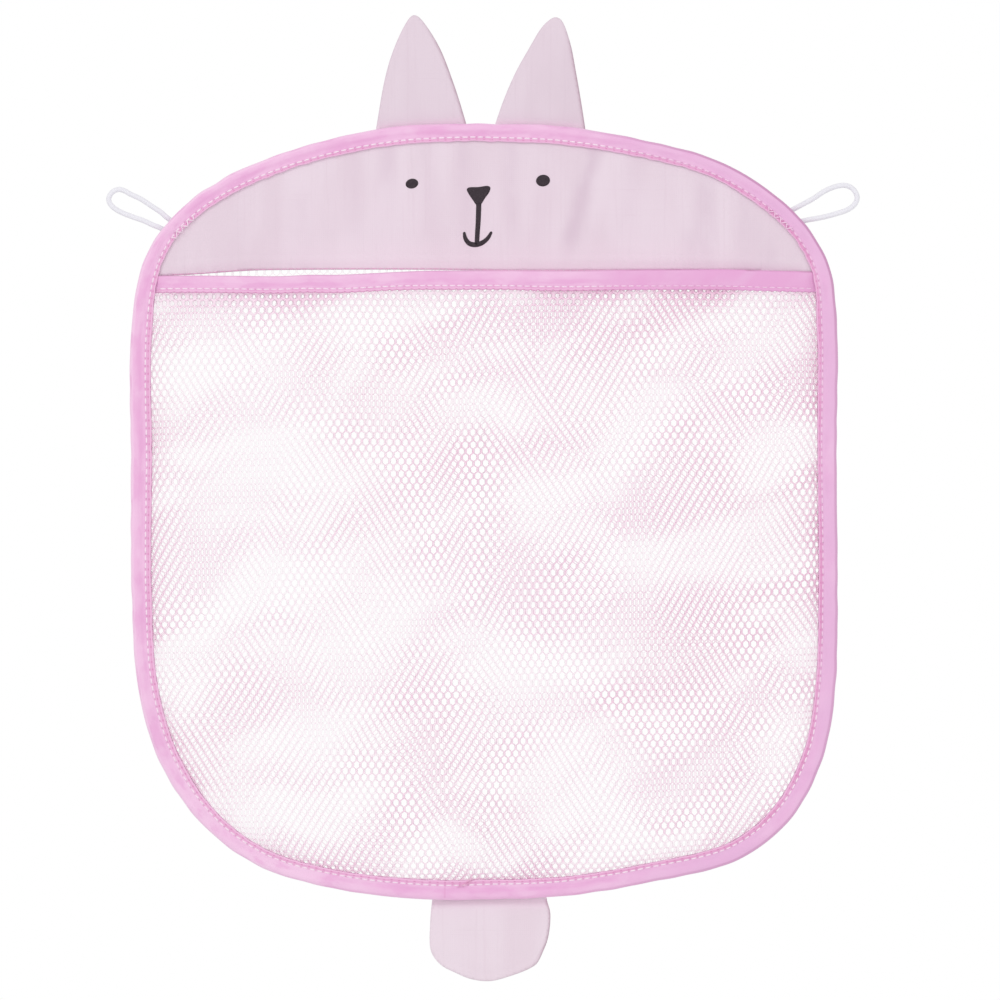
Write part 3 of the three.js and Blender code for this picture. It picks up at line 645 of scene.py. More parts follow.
# %% Routes of the loops
CORD_DIAMETER, CORD_MIDDLE, CORD_POINTS = 2.5 * MM, 1.55 * MM, 90
LOOP_PLACES = {"left": (-149.6, -43.0), "right": (145.2, -39.2)}
LOOP_ROUTES = {
    "left": [[0.65, 3.05], [-1.42, 4.93], [-5.93, 7.95], [-10.95, 11.25], [-15.74, 13.49], [-18.81, 15.16],
             [-21.55, 15.72], [-24.44, 14.28], [-25.97, 11.25], [-25.09, 8.7], [-22.58, 6.46],
             [-19.27, 4.7], [-14.76, 2.93], [-9.7, 1.16], [-4.67, -1.12], [-3.46, -1.53]],
    "right": [[-1.16, 3.25], [2.16, 5.02], [6.91, 7.58], [12.35, 11.16], [17.09, 13.16], [21.32, 13.86],
              [24.2, 13.07], [26.34, 11.16], [27.5, 8.09], [26.11, 4.74], [22.76, 2.37], [18.76, 0.93],
              [12.81, -0.7], [8.07, -1.67], [4.59, -2.24]],
}
print("points in the routes:", {side: len(route) for side, route in LOOP_ROUTES.items()})

# %% A piece's place, its bend and its hidden ends
def takes_place_of(piece, slot, *nodes, body=None):
    """Attaches a piece to the body it rides on, and hides the solids it replaces. Its slot is not used."""
    if body:
        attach(piece, body)
    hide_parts(*nodes)


def bend_at(piece, place, outward, depth, reach):
    """Works out a span from 1.5 mm inside a place to so many mm outside it, and bakes the piece's place into
    its mesh; nothing is blended.
    """
    ends = [(x, depth, z) for x, z in (place - outward * 1.5 * MM, place + outward * reach * MM)]
    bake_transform(piece)


# Each hidden end, in mm: how far it runs on past its exit, and how far in under the tape
HIDDEN_END = ((5, 5), (4.6, 2.4), (3, 0.4))


def hidden_end(end, before, outward):
    """The route of a cord's end behind the tape, from its tip to its exit."""
    way = (end - before) / np.linalg.norm(end - before)
    return [end + way * ahead * MM - outward * down * MM for ahead, down in HIDDEN_END]


# %% The two loops
# The reach in mm that bend_at is given for a loop
LOOP_BEND = 7
for side, sign in (("left", -1), ("right", 1)):
    free = (np.array(LOOP_ROUTES[side]) + LOOP_PLACES[side]) * MM
    upper, lower = free[0], free[-1]
    along = (upper - lower) / np.linalg.norm(upper - lower)
    outward = np.array([along[1], -along[0]])
    if outward[0] * sign < 0:
        outward = -outward
    flat = curve_through(np.vstack([hidden_end(upper, free[2], outward), free,
                                    hidden_end(lower, free[-3], outward)[::-1]]), 10)
    route = columns(flat[:, 0], CORD_MIDDLE, flat[:, 1])
    route = at_lengths(route, np.linspace(0, length_along(route)[-1], CORD_POINTS))
    line = carrier_of("cord_line", route, zip(range(CORD_POINTS - 1), range(1, CORD_POINTS)))
    loop = turn_faces_out(grow(f"{side}_loop_cord", line, cord_tree, {
        "Diameter": CORD_DIAMETER, "Rib pitch": 0.55 * MM, "Rib depth": 0.1 * MM, "Material": cord_cover}))
    bend_at(loop, (upper + lower) / 2, outward, CORD_MIDDLE, LOOP_BEND)
    takes_place_of(loop, "cord", f"{side}_loop", f"{side}_loop_upper_end", f"{side}_loop_lower_end")

# %% [markdown]
# ## Stitches
# A sewing machine lays one short length of thread after another. Each stitch dips into the cloth at
# both ends, so it looks like a small rounded dash. One tree makes all of them: its carrier is a mesh
# of separate edges, one edge for each stitch, and on the middle of every edge it sets a rounded bar
# turned along that edge and as long as it. A bar has 48 faces.

# %% Tree: one thread bar on each edge
def make_stitch_tree():
    tree, given = new_shape_tree("thread_stitches", {"Thread": 0.5 * MM, "Unevenness": 0.1})
    first, second = wired(tree, "GeometryNodeInputMeshEdgeVertices")[2:]
    length_and_way = Wire(second).vector_math("SUBTRACT", first)
    kept = wire(tree, "GeometryNodeStoreNamedAttribute",
                {"Geometry": given["Geometry"], "Name": "span", "Value": length_and_way},
                data_type="FLOAT_VECTOR", domain="EDGE")
    points = wire(tree, "GeometryNodeMeshToPoints", {"Mesh": kept}, mode="EDGES")
    span = wire(tree, "GeometryNodeInputNamedAttribute", {"Name": "span"}, data_type="FLOAT_VECTOR")
    turn = wire(tree, "FunctionNodeAlignRotationToVector", {"Vector": span}, axis="Z")
    chance = wire(tree, "FunctionNodeRandomValue", {2: 0.0, 3: 1.0, "Seed": given["Seed"]}, 1,
                  data_type="FLOAT")
    thick = given["Thread"] * ((chance - 0.5) * given["Unevenness"] + 1.0)
    long = span.vector_math("LENGTH", at="Value")
    size = wire(tree, "ShaderNodeCombineXYZ", {"X": thick, "Y": thick, "Z": long})
    bar_sizes = {"Vertices": 8, "Side Segments": 4, "Radius": 0.5, "Depth": 1.0}
    bar = wire(tree, "GeometryNodeMeshCylinder", bar_sizes, "Mesh", fill_type="TRIANGLE_FAN")
    place = wire(tree, "GeometryNodeInputPosition")
    # The bar slims towards both ends, to half its thickness there
    slim = (place.parts()[2].math("ABSOLUTE") * 2.0).math("POWER", 3.0) * -0.5 + 1.0
    narrow = wire(tree, "ShaderNodeCombineXYZ", {"X": slim, "Y": slim, "Z": 1.0})
    rounded = wire(tree, "GeometryNodeSetPosition", {"Geometry": bar,
                                                     "Position": place.vector_math("MULTIPLY", narrow)})
    laid = wire(tree, "GeometryNodeInstanceOnPoints",
                {"Points": points, "Instance": rounded, "Rotation": turn, "Scale": size})
    return end_tree(tree, given, laid)


stitch_tree = make_stitch_tree()
print("stitch tree ready")

# %% Sewing with the tree
def stitch_ends(line, keys, middles, half):
    """The two ends of each stitch on a line: half a stitch, in the line's keys, either way of its middle."""
    return np.stack([read_off(line, keys, middles + away) for away in (-half, half)], axis=1)


def sew(name, ends, thread, material, seed):
    """A piece of stitches from their ends, in metres."""
    lines = carrier_of("stitch_lines", ends.reshape(-1, 3), [(2 * i, 2 * i + 1) for i in range(len(ends))])
    values = {"Thread": thread, "Unevenness": 0.25, "Seed": seed, "Material": material}
    piece = grow(name, lines, stitch_tree, values)
    if "span" in piece.data.attributes:
        piece.data.attributes.remove(piece.data.attributes["span"])
    return turn_faces_out(piece)


# %% [markdown]
# ## The folded tape round the edge
# A strip of pink satin tape is folded over the raw edges of all the cloth and sewn through. Its
# section is a thin C: an outer lip on the front, a rounded fold at the edge and a lip on the back. It is
# drawn once as a section of 37 points and swept round the edge in Python, because each ring is
# changed a little: the stitches pull a groove, the bias-cut tape puckers between them, more so in the
# tight curves, and its free edge waves. Its two ends overlap at the bottom.

# %% Section of the tape
TAPE_WIDTH, STITCH_INSET, STITCH_PITCH = 9.6 * MM, 7.4 * MM, 3.5 * MM
front_inset = np.array([9.6, 9.5, 9.0, 8.4, 7.85, 7.4, 6.95, 6.2, 5.2, 4.2, 3.2, 2.2, 1.4]) * MM
front_y = np.array([-3.75, -4.0, -4.1, -4.1, -4.05, -3.95, -4.1, -4.25, -4.3, -4.4, -4.45, -4.4, -4.25]) * MM
fold_turn = np.radians(np.linspace(62, -62, 7))
fold_inset = 1.6 * MM * (1 - np.cos(fold_turn))
fold_y = -2.15 * MM - 2.1 * MM * np.sin(fold_turn)
back_inset = np.array([1.5, 3.2, 5.2, 6.95, 7.4, 7.85, 9.0, 9.6]) * MM
back_y = np.array([-0.1, 0, 0, 0, -0.15, 0, 0, -0.15]) * MM
inner_inset = np.array([9.5, 7.4, 3.0, 1.3, 0.9, 1.3, 3.0, 7.4, 9.4]) * MM
inner_y = np.array([-0.6, -0.9, -0.8, -1.2, -2.15, -3.1, -3.5, -3.35, -3.3]) * MM
section_inset = np.concatenate([front_inset, fold_inset, back_inset, inner_inset])
section_y = np.concatenate([front_y, fold_y, back_y, inner_y])
is_front = np.arange(len(section_inset)) < len(front_inset) + 2
print("section points:", len(section_inset))

# %% Rings round the edge
# How wide the tape shows at each point of the pattern, and how far in its stitches run, in mm
EDGE_WIDTHS = [8.3, 8.7, 8.2, 8.2, 8.7, 8.3, 8.5, 9.6, 8.8, 8.8, 9.3, 9.4, 9.8, 9.0, 8.8, 8.9,
               9.3, 9.3, 8.7, 8.5, 8.7, 9.4, 9.2, 9.3, 9.8, 9.8, 8.5, 7.6, 8.6, 8.2, 8.7, 8.2]
EDGE_STITCHES = [6.4, 6.8, 6.2, 6.4, 6.5, 6.5, 6.5, 7.3, 7.0, 6.9, 7.5, 7.2, 7.5, 7.0, 7.0, 7.0,
                 7.2, 7.0, 6.7, 6.4, 6.5, 6.9, 6.7, 6.7, 7.4, 7.3, 6.8, 5.8, 6.6, 6.5, 6.9, 6.3]
stitch_count = round((EDGE_LENGTH - 2 * math.pi * STITCH_INSET) / STITCH_PITCH)
EDGE_PITCH = EDGE_LENGTH / stitch_count
ring_count = 3 * stitch_count
ring_place, ring_inward, ring_length = round_the_edge(ring_count)


def nearest_ring(x, z):
    """The ring nearest to a place in mm."""
    return np.argmin(((ring_place - np.array([x, z]) * MM) ** 2).sum(axis=1))


JOIN_AT = float(ring_length[nearest_ring(-18.6, -350.8)])
DENT_AT = float(ring_length[nearest_ring(-126.0, -25.3)])
print("rings:", ring_count)

# %% Waves and bells
def apart(a, b):
    """Signed distance round the edge from b to a."""
    return (a - b + EDGE_LENGTH / 2) % EDGE_LENGTH - EDGE_LENGTH / 2


def slow_wave(lengths, seed, waves, size):
    """A smooth closed wave round the edge."""
    chance = np.random.default_rng(seed)
    turns = lengths / EDGE_LENGTH * 2 * math.pi
    return size * sum(chance.uniform(0.4, 1) * np.sin(k * turns + chance.uniform(0, 6.3))
                      for k in waves) / len(waves) ** 0.5


def bell(away, wide):
    """One at no distance, falling off softly over about this width."""
    return np.exp(-(away / wide) ** 2)


# %% Puckers and the overlapped ends
PUCKERS, VALLEY_DEPTH, PINCH_DEPTH, OVERLAP_STEP, HEM_LIFT = 210, 0.3 * MM, 0.16 * MM, 0.45 * MM, 0.45 * MM
bend = np.linalg.norm(np.roll(ring_inward, -12, axis=0) - np.roll(ring_inward, 12, axis=0), axis=1)
bend = bend / bend.max()
inset_grid, length_grid = np.meshgrid(section_inset, ring_length)
pattern_at = length_along(bag_edge)[:-1:EDGE_STEPS]
width_at, stitch_at = [np.interp(ring_length, pattern_at, np.array(known) * MM, period=EDGE_LENGTH)
                       for known in (EDGE_WIDTHS, EDGE_STITCHES)]
y_grid = np.repeat(section_y[None], ring_count, axis=0)
tape_chance = np.random.default_rng(41)
on_cloth = smoothstep(inset_grid, 0.6 * MM, 2.4 * MM) * (1 - smoothstep(inset_grid, 6.2 * MM, 7.2 * MM))
pucker = np.zeros_like(y_grid)
for at in tape_chance.uniform(0, EDGE_LENGTH, PUCKERS):
    near = bend[int(at / EDGE_LENGTH * ring_count) % ring_count]
    size = tape_chance.uniform(-0.28, 0.42) * MM * (0.35 + 0.9 * near)
    wide = tape_chance.uniform(1.6, 4.5) * MM
    slant = tape_chance.uniform(-1.1, 1.1)
    pucker += size * bell(apart(length_grid, at) - slant * (inset_grid - 5 * MM), wide)
valley_at = 5.6 * MM + slow_wave(length_grid, 3, range(20, 60, 7), 0.6 * MM)
valley = VALLEY_DEPTH * bell(inset_grid - valley_at, 0.9 * MM)
pinch = PINCH_DEPTH * np.cos(length_grid / EDGE_PITCH * 2 * math.pi)
pinch = pinch * bell(inset_grid - STITCH_INSET, 0.7 * MM)
past_join = apart(length_grid, JOIN_AT)
overlap = OVERLAP_STEP * smoothstep(past_join + 0.35 * (inset_grid - 5 * MM), -0.35 * MM, 0.35 * MM)
overlap = overlap * (1 - smoothstep(past_join, 14 * MM, 30 * MM))
from_hem = ring_place[:, 1] - sewn_height(HEM_LINE, ring_place[:, 0]) + HEM_WIDTH / 2
hem_lift = HEM_LIFT * bell(from_hem, 6 * MM)[:, None] * smoothstep(inset_grid, 3 * MM, 7.5 * MM)
y_grid = y_grid + np.where(is_front, (valley - pucker) * on_cloth + pinch - overlap - hem_lift, 0)
last_inner = np.arange(len(section_y)) > len(section_y) - 4
y_grid = y_grid - np.where(last_inner & (y_grid > inner_y.min() - 0.3 * MM), hem_lift, 0)
print("deepest pucker in mm:", round(float(np.abs(pucker).max()) / MM, 2))

# %% Sweeping a section
def swept_piece(name, rings, material, lengths, across, closed=False):
    """Rings of points joined in order, the last to the first or with a cap at each end. Its cloth map has
    a length for each ring and a distance across for each point of a ring."""
    count, per = rings.shape[:2]
    ring, point = np.meshgrid(np.arange(count if closed else count - 1), np.arange(per), indexing="ij")
    after, beside = (ring + 1) % count, (point + 1) % per
    faces = np.stack([ring * per + point, after * per + point, after * per + beside, ring * per + beside],
                     axis=-1).reshape(-1, 4).tolist()
    caps = [] if closed else [range(per), [(count - 1) * per + j for j in reversed(range(per))]]
    uv = np.stack(np.broadcast_arrays(lengths[:, None], across[None]), axis=-1).reshape(-1, 2)
    piece = make_piece(name, rings.reshape(-1, 3), faces + caps, material, uv)
    if caps:
        for polygon in piece.data.polygons[-2:]:
            polygon.use_smooth = False
        at_end = np.arange(count * per) // per % (count - 1) == 0
        for edge in piece.data.edges:
            edge.use_edge_sharp = bool(at_end[edge.vertices[0]] and at_end[edge.vertices[1]])
    return turn_faces_out(piece)


# %% Waving edges and the swept mesh
dent = 0.4 * MM * bell(apart(length_grid, DENT_AT), 5 * MM)
outer_wave = slow_wave(length_grid, 5, range(9, 90, 7), 0.16 * MM) + dent
free_wave = slow_wave(length_grid, 8, range(30, 200, 13), 0.2 * MM)
free_wave = free_wave * smoothstep(inset_grid, 7.8 * MM, 9.4 * MM)
shown_inset = np.stack([np.interp(section_inset, [0, STITCH_INSET, TAPE_WIDTH], [0, sewn_at, wide])
                        for sewn_at, wide in zip(stitch_at, width_at)])
shown_inset = shown_inset + outer_wave * (1 - smoothstep(inset_grid, 0, 7 * MM))
shown_inset = shown_inset + np.where(is_front, free_wave, 0)
tape_points = np.stack([
    ring_place[:, :1] + ring_inward[:, :1] * shown_inset,
    np.minimum(y_grid, 0),
    ring_place[:, 1:] + ring_inward[:, 1:] * shown_inset], axis=2)
EDGE_CREASE, EDGE_LIP_END = (2.6 * MM, 4.6 * MM, 5.4 * MM, 7.2 * MM), 8.55 * MM
tape_finish = make_tape_finish("pink_edge_tape", EDGE_CREASE, STITCH_INSET, EDGE_PITCH, EDGE_LIP_END, None)
across_cloth = np.where(np.arange(len(section_y)) < len(front_y), section_inset, -2 * MM - section_inset)
edge_tape = swept_piece("edge_tape_cloth", tape_points, tape_finish, ring_length, across_cloth, closed=True)
takes_place_of(edge_tape, "edge_tape", "edge_tape", body="bag")

# %% [markdown]
# The tape's stitches follow one line, on the front and on the back, and rest in its groove. Where
# the tape's ends overlap and where each loop is sewn in, a few slanting stitches lie across the line.
# The loops' zigzags are the machine's bar tack, which carries the bag's weight.

# %% Stitches in a seam and in a zigzag
def seam_stitches(insets, points_before, lift, fill):
    """Stitches in a groove of the tape, a little out of the cloth, that end where the rings are pinched."""
    line = tape_points[:, points_before + np.argmin(np.abs(insets - STITCH_INSET))] + np.array([0, lift, 0])
    turns = np.arange(ring_count + 1) / ring_count * stitch_count
    return stitch_ends(np.vstack([line, line[:1]]), turns, np.arange(stitch_count) + 0.5, fill / 2)


def zigzag(middle, along, outward, length, width, zigs, y):
    """The stitches of a zigzag, turning from side to side."""
    share = np.arange(zigs + 1) / zigs - 0.5
    side = (np.arange(zigs + 1) % 2 - 0.5) * width
    flat = middle + share[:, None] * length * along + side[:, None] * outward
    line = columns(flat[:, 0], y, flat[:, 1])
    return np.stack([line[:-1], line[1:]], axis=1)


# %% Stitches through the tape
# The threads where the tape's ends overlap and the ones caught beyond them: ends across and up, in mm
JOIN_THREADS = [
    [(-13.2, -351.7), (-9.6, -349.7)], [(-9.4, -349.5), (-6.1, -347.5)], [(-10.9, -351.4), (-6.4, -348.6)],
    [(-15.2, -350.2), (-14.7, -349.6)], [(-12.2, -347.9), (-11.6, -347.7)], [(25.6, -348.2), (26.0, -347.7)],
    [(28.4, -347.2), (28.8, -346.7)], [(33.0, -348.3), (33.5, -348.0)], [(39.1, -346.0), (39.6, -345.6)]]
JOIN_DEPTH, TACK_DEPTH = -4.55 * MM, -4.6 * MM
join_ends = np.array([[(x * MM, JOIN_DEPTH, z * MM) for x, z in ends] for ends in JOIN_THREADS])
front_ends = seam_stitches(front_inset, 0, -0.16 * MM, 0.74)
back_ends = seam_stitches(back_inset, len(front_inset) + len(fold_inset), -0.01 * MM, 0.78)
for name, ends, thread, yarn, seed, node in (
        ("edge_front_stitches", front_ends, 0.76 * MM, sewing_thread, 11, "edge_needle_thread"),
        ("edge_join_stitches", join_ends, 0.36 * MM, shade_thread, 14, "edge_needle_thread"),
        ("edge_back_stitches", back_ends, 0.3 * MM, sewing_thread, 12, "edge_bobbin_thread")):
    takes_place_of(sew(name, ends, thread, yarn, seed), "thread", node, body="bag")

# %% The loops' tacks
# The place of each tack across and up, in mm, and the zigzag's length, width and number of turns
TACK_PLACES = (("left", (-142.1, -43.4)), ("right", (136.2, -41.6)))
TACK_LENGTH, TACK_WIDTH, TACK_ZIGS, TACK_INSET = 15 * MM, 2.2 * MM, 8, 7.2 * MM
for side, tack_place in TACK_PLACES:
    near = nearest_ring(*tack_place)
    tape_along = np.array([ring_inward[near, 1], -ring_inward[near, 0]])
    at_seam = ring_place[near] + ring_inward[near] * TACK_INSET
    ends = zigzag(at_seam, tape_along, ring_inward[near], TACK_LENGTH, TACK_WIDTH, TACK_ZIGS, TACK_DEPTH)
    tack = sew(f"{side}_loop_tack_stitches", ends, 0.55 * MM, sewing_thread, 13)
    takes_place_of(tack, "thread", f"{side}_loop_tack", body="bag")

# %% [markdown]
# ## The two nets
# The net is a warp knit with staggered six-sided holes 3.6 mm apart. One layer is the back of the bag and
# one is the pocket, and where they are seen through each other, their holes drift in and out of step
# and make the cloudy pattern. So the net has to be real holes. One cell of it is a six-sided ring of
# yarn with 12 faces: a short open cylinder whose middle ring is pulled in to the hole's edge, so
# that each strand has a ridge on the front and on the back. The tree sets a cell on every point of
# a staggered grid, and merging the shared ridges makes one closed net. After that, the cells are
# moved to follow the sagging cloth.

# %% Tree: a cell of net on each point
NET_PITCH, NET_ROW, NET_THICK = 3.63 * MM, 2.97 * MM, 0.3 * MM
NET_SIZES = {"Pitch": NET_PITCH, "Row": NET_ROW, "Thickness": NET_THICK,
             "Hole width": 0.67, "Hole height": 0.91, "Slant": 0.02}


def make_net_tree():
    tree, given = new_shape_tree("net_cells", NET_SIZES)
    ring_sizes = {"Vertices": 6, "Side Segments": 2, "Radius": 1.0, "Depth": 1.0}
    ring = wire(tree, "GeometryNodeMeshCylinder", ring_sizes, "Mesh", fill_type="NONE")
    x, y, z = wire(tree, "GeometryNodeInputPosition").parts()
    is_hole = z.math("ABSOLUTE").math("LESS_THAN", 0.25)
    wide = given["Pitch"] / math.sqrt(3) * is_hole.ramp(0, 1, 1, given["Hole width"])
    up = x * (given["Row"] / 1.5 * is_hole.ramp(0, 1, 1, given["Hole height"]))
    # The ring's first corner is on X, so X becomes the bag's Z, Y its X, and the ring's axis its Y
    shaped = wire(tree, "ShaderNodeCombineXYZ", {"X": y * wide + up * is_hole * given["Slant"],
                                                 "Y": z * given["Thickness"], "Z": up})
    cell = wire(tree, "GeometryNodeSetPosition", {"Geometry": ring, "Position": shaped})
    points = wire(tree, "GeometryNodeMeshToPoints", {"Mesh": given["Geometry"]}, mode="VERTICES")
    laid = wire(tree, "GeometryNodeInstanceOnPoints", {"Points": points, "Instance": cell})
    return end_tree(tree, given, laid, 0.05 * MM)


net_tree = make_net_tree()
print("net tree ready, with sizes:", list(NET_SIZES))

# %% Places of the cells
def cell_places(outline, offset):
    """Middles of the cells inside an outline, in staggered rows."""
    low, high = outline.min(axis=0), outline.max(axis=0)
    rows = np.arange(math.floor(low[1] / NET_ROW), math.ceil(high[1] / NET_ROW) + 1)
    cells = np.arange(math.floor(low[0] / NET_PITCH) - 1, math.ceil(high[0] / NET_PITCH) + 1)
    column, row = np.meshgrid(cells, rows)
    grid = np.stack([(column + (row % 2) / 2 + offset) * NET_PITCH, row * NET_ROW], axis=-1).reshape(-1, 2)
    return grid[is_inside(outline, grid)]


# %% Closing a net's rim
JOIN_REACH, RIDGE_SHARE, SAME_PLACE_DIGITS = 1.2 * NET_PITCH, 0.2, 5


def flat_place(vertex):
    return round(vertex.co.x, SAME_PLACE_DIGITS), round(vertex.co.z, SAME_PLACE_DIGITS)


def close_rim(piece):
    """Joins the front and back ridges along the net's outer edge, where no other cell meets it. Where the
    two parts of a net meet, the ridges are brought close, so that the join doesn't show from the side."""
    work = bmesh.new()
    work.from_mesh(piece.data)
    at = {}
    for v in work.verts:
        at.setdefault(flat_place(v), []).append(v)
    joined = set()
    for e in [e for e in work.edges if len(e.link_faces) == 1 and e.verts[0].co.y < 0]:
        a, b = e.verts
        twins = [next((v for v in at[flat_place(p)] if v.co.y > 0), None) for p in (a, b)]
        if None not in twins:
            closing = work.faces.new([a, b, twins[1], twins[0]])
            for side in closing.edges:
                side.smooth = False
            if abs(a.co.x + b.co.x) / 2 < JOIN_REACH:
                joined.update([a, b, *twins])
    for v in joined:
        v.co.y *= RIDGE_SHARE
    work.to_mesh(piece.data)
    work.free()


# %% Net gathered towards its edge
NET_PULL, NET_REACH = 3.0 * MM, 15 * MM
places_round, inward_round, _ = round_the_edge(360)


def gathered(x, z, chunk=4000):
    """Net near the edge is drawn in towards the seam, so its holes are narrower there."""
    moved = columns(x, z)
    for i in range(0, len(x), chunk):
        part = moved[i:i + chunk]
        nearest = ((part[:, None] - places_round[None]) ** 2).sum(axis=2).argmin(axis=1)
        inside = ((part - places_round[nearest]) * inward_round[nearest]).sum(axis=1)
        pull = NET_PULL * (1 - smoothstep(inside, 1 * MM, NET_REACH))
        moved[i:i + chunk] = part + inward_round[nearest] * pull[:, None]
    return moved[:, 0], moved[:, 1]


def how_gathered(points, place_at, in_pocket):
    """From 0 to 1: how much the net is bunched up near the tape, and below the hem of the pocket."""
    x, _, z = place_at(points[:, 0], points[:, 2])
    near = 0.45 * np.exp(-np.maximum(from_edge(x, z) - 9 * MM, 0) / (3.6 * MM))
    if in_pocket:
        near = np.maximum(near, np.exp(-np.maximum(sewn_height(HEM_LINE, x) - HEM_WIDTH - z, 0) / (6 * MM)))
    return near


# %% One piece of net
# How far a hole closes where the net is fully bunched up
HOLE_CLOSING = 0.62


def write_attribute(piece, name, values):
    """Keeps a number for each point of a piece, for its finish to read."""
    piece.data.attributes.new(name, "FLOAT", "POINT").data.foreach_set("value", values.astype(np.float32))


def net_piece(name, middles, place_at):
    """One piece of net: cells on their middles, closed, then moved by a rule for x and z."""
    middles = [(x, 0.0, z) for x, z in middles]
    piece = grow(name, carrier_of("cell_middles", middles), net_tree, {**NET_SIZES, "Material": net_yarn})
    close_rim(piece)
    turn_faces_out(piece)
    points = np.array([v.co for v in piece.data.vertices])
    near = how_gathered(points, place_at, name.startswith("pocket"))
    # The points of the holes' edges lie in the middle of the yarn, and move towards their cell's middle
    cells = KDTree(len(middles))
    for i, middle in enumerate(middles):
        cells.insert(middle, i)
    cells.balance()
    for i in np.nonzero(np.abs(points[:, 1]) < 0.05 * NET_THICK)[0]:
        middle = np.array(cells.find(points[i])[0])
        points[i] = middle + (points[i] - middle) * (1 - HOLE_CLOSING * near[i])
    x, forward, z = place_at(points[:, 0], points[:, 2])
    points = columns(x, points[:, 1] - forward, z)
    piece.data.vertices.foreach_set("co", points.ravel().astype(np.float32))
    write_attribute(piece, "gathered", near)
    piece.data.polygons.foreach_set("use_smooth", [True] * len(piece.data.polygons))
    piece.data.update()
    return piece


def surface_of(piece):
    """Half the area of a closed piece's surface, which is its cloth."""
    work = bmesh.new()
    work.from_mesh(piece.data)
    area = sum(f.calc_area() for f in work.faces) / 2
    work.free()
    return area


# %% [markdown]
# The knit is never quite even: it is pulled a little along its diagonals where it was handled. A slow
# drift of a millimetre or so does that, and a different one for each layer gives the clouds their
# swirls. Each net is made in a left and a right part that meet at the middle.

# %% Both nets' parts
BLEND_SIDE, BLEND_HEIGHT = 0.155, -0.2


def bend_with_pocket(piece, sign):
    """Bakes a left or right piece's place into its mesh; nothing is blended."""
    sign * BLEND_SIDE
    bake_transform(piece)


def hang_net(name, cells, place_at):
    """Makes a net's left and right parts. The area of each is that of its own yarn."""
    for side, sign, chosen in (("left", -1, cells[:, 0] < 0), ("right", 1, cells[:, 0] >= 0)):
        net = net_piece(f"{name}_{side}", cells[chosen], place_at)
        if name == "pocket_net":
            bend_with_pocket(net, sign)
        takes_place_of(net, "net", name, body="bag" if name == "back_net" else None)
        area = surface_of(net)
        print(net.name, "cells:", int(chosen.sum()), "yarn area in square mm:", round(area * 1e6))


def drift(x, z, seed, size):
    """A slow sideways pull of the knit, different for each seed."""
    chance = np.random.default_rng(seed)
    move = np.zeros((2, len(x)))
    for _ in range(7):
        turn, wave = chance.uniform(0, math.pi), chance.uniform(55, 170) * MM
        phase, pull = chance.uniform(0, 6.3), chance.uniform(0, 6.3)
        swing = np.sin((x * math.cos(turn) + z * math.sin(turn)) / wave * 2 * math.pi + phase)
        move += size * swing * np.array([[math.cos(pull)], [math.sin(pull)]])
    return move


under_tape = edge_moved_in(1.4 * MM)
BACK_PLANE, POCKET_PLANE = 1.8 * MM, 3.0 * MM
print("net points lie between the planes at mm:", -POCKET_PLANE / MM, -BACK_PLANE / MM)

# %% Back net
BACK_TURN, TURN_HEIGHT = math.radians(2.6), -0.18


def turned(x, z, angle):
    """Places turned about the middle of the net."""
    z = z - TURN_HEIGHT
    return x * math.cos(angle) - z * math.sin(angle), z * math.cos(angle) + x * math.sin(angle) + TURN_HEIGHT


def back_net_place(x, z):
    at_x, at_z = gathered(*turned(x, z, BACK_TURN))
    edge = from_edge(at_x, at_z)
    move = drift(x, z, 21, 0.62 * MM) * smoothstep(edge, 3 * MM, 16 * MM)
    sag = 0.5 * MM * np.sin(x / 0.047) * np.cos(z / 0.061) * smoothstep(edge, 6 * MM, 40 * MM)
    return at_x + move[0], BACK_PLANE + np.clip(sag, -0.5 * MM, 0.3 * MM), at_z + move[1]


back_outline = columns(*turned(under_tape[:, 0], under_tape[:, 1], -BACK_TURN))
hang_net("back_net", cell_places(back_outline, 0.0), back_net_place)

# %% Pocket net
def pocket_outline_below(shift):
    """The part of the net's outline below the pocket's mouth."""
    low = after_gap(under_tape[under_tape[:, 1] < sewn_height(HEM_LINE, under_tape[:, 0]) + shift])
    line_x = np.linspace(under_tape[:, 0].min(), under_tape[:, 0].max(), 200)
    top = columns(line_x, sewn_height(HEM_LINE, line_x) + shift)
    top = top[(top[:, 0] > low[:, 0].min()) & (top[:, 0] < low[:, 0].max())]
    return np.vstack([low, top if low[-1, 0] < low[0, 0] else top[::-1]])


def pocket_net_place(x, z):
    x, z = gathered(x, z)
    move = drift(x, z, 34, 0.5 * MM) * smoothstep(from_edge(x, z), 3 * MM, 16 * MM)
    move[1] *= smoothstep(sewn_height(HEM_LINE, x) - z, 6 * MM, 20 * MM)
    return x + move[0], POCKET_PLANE + pocket_bulge(x, z), z + move[1]


POCKET_NET_TOP = -4 * MM
pocket_cells = cell_places(pocket_outline_below(POCKET_NET_TOP), 0.25)
hang_net("pocket_net", pocket_cells, pocket_net_place)

# %% [markdown]
# ## Cotton pieces
# The face panel, the ears and the tail are cotton. Each is a flat shape filled with small triangles, so
# that it can take soft folds, and then given a front, a back and a rim. Filling a shape with triangles
# from a grid of points keeps them even, where a sweep would crowd them at the corners.

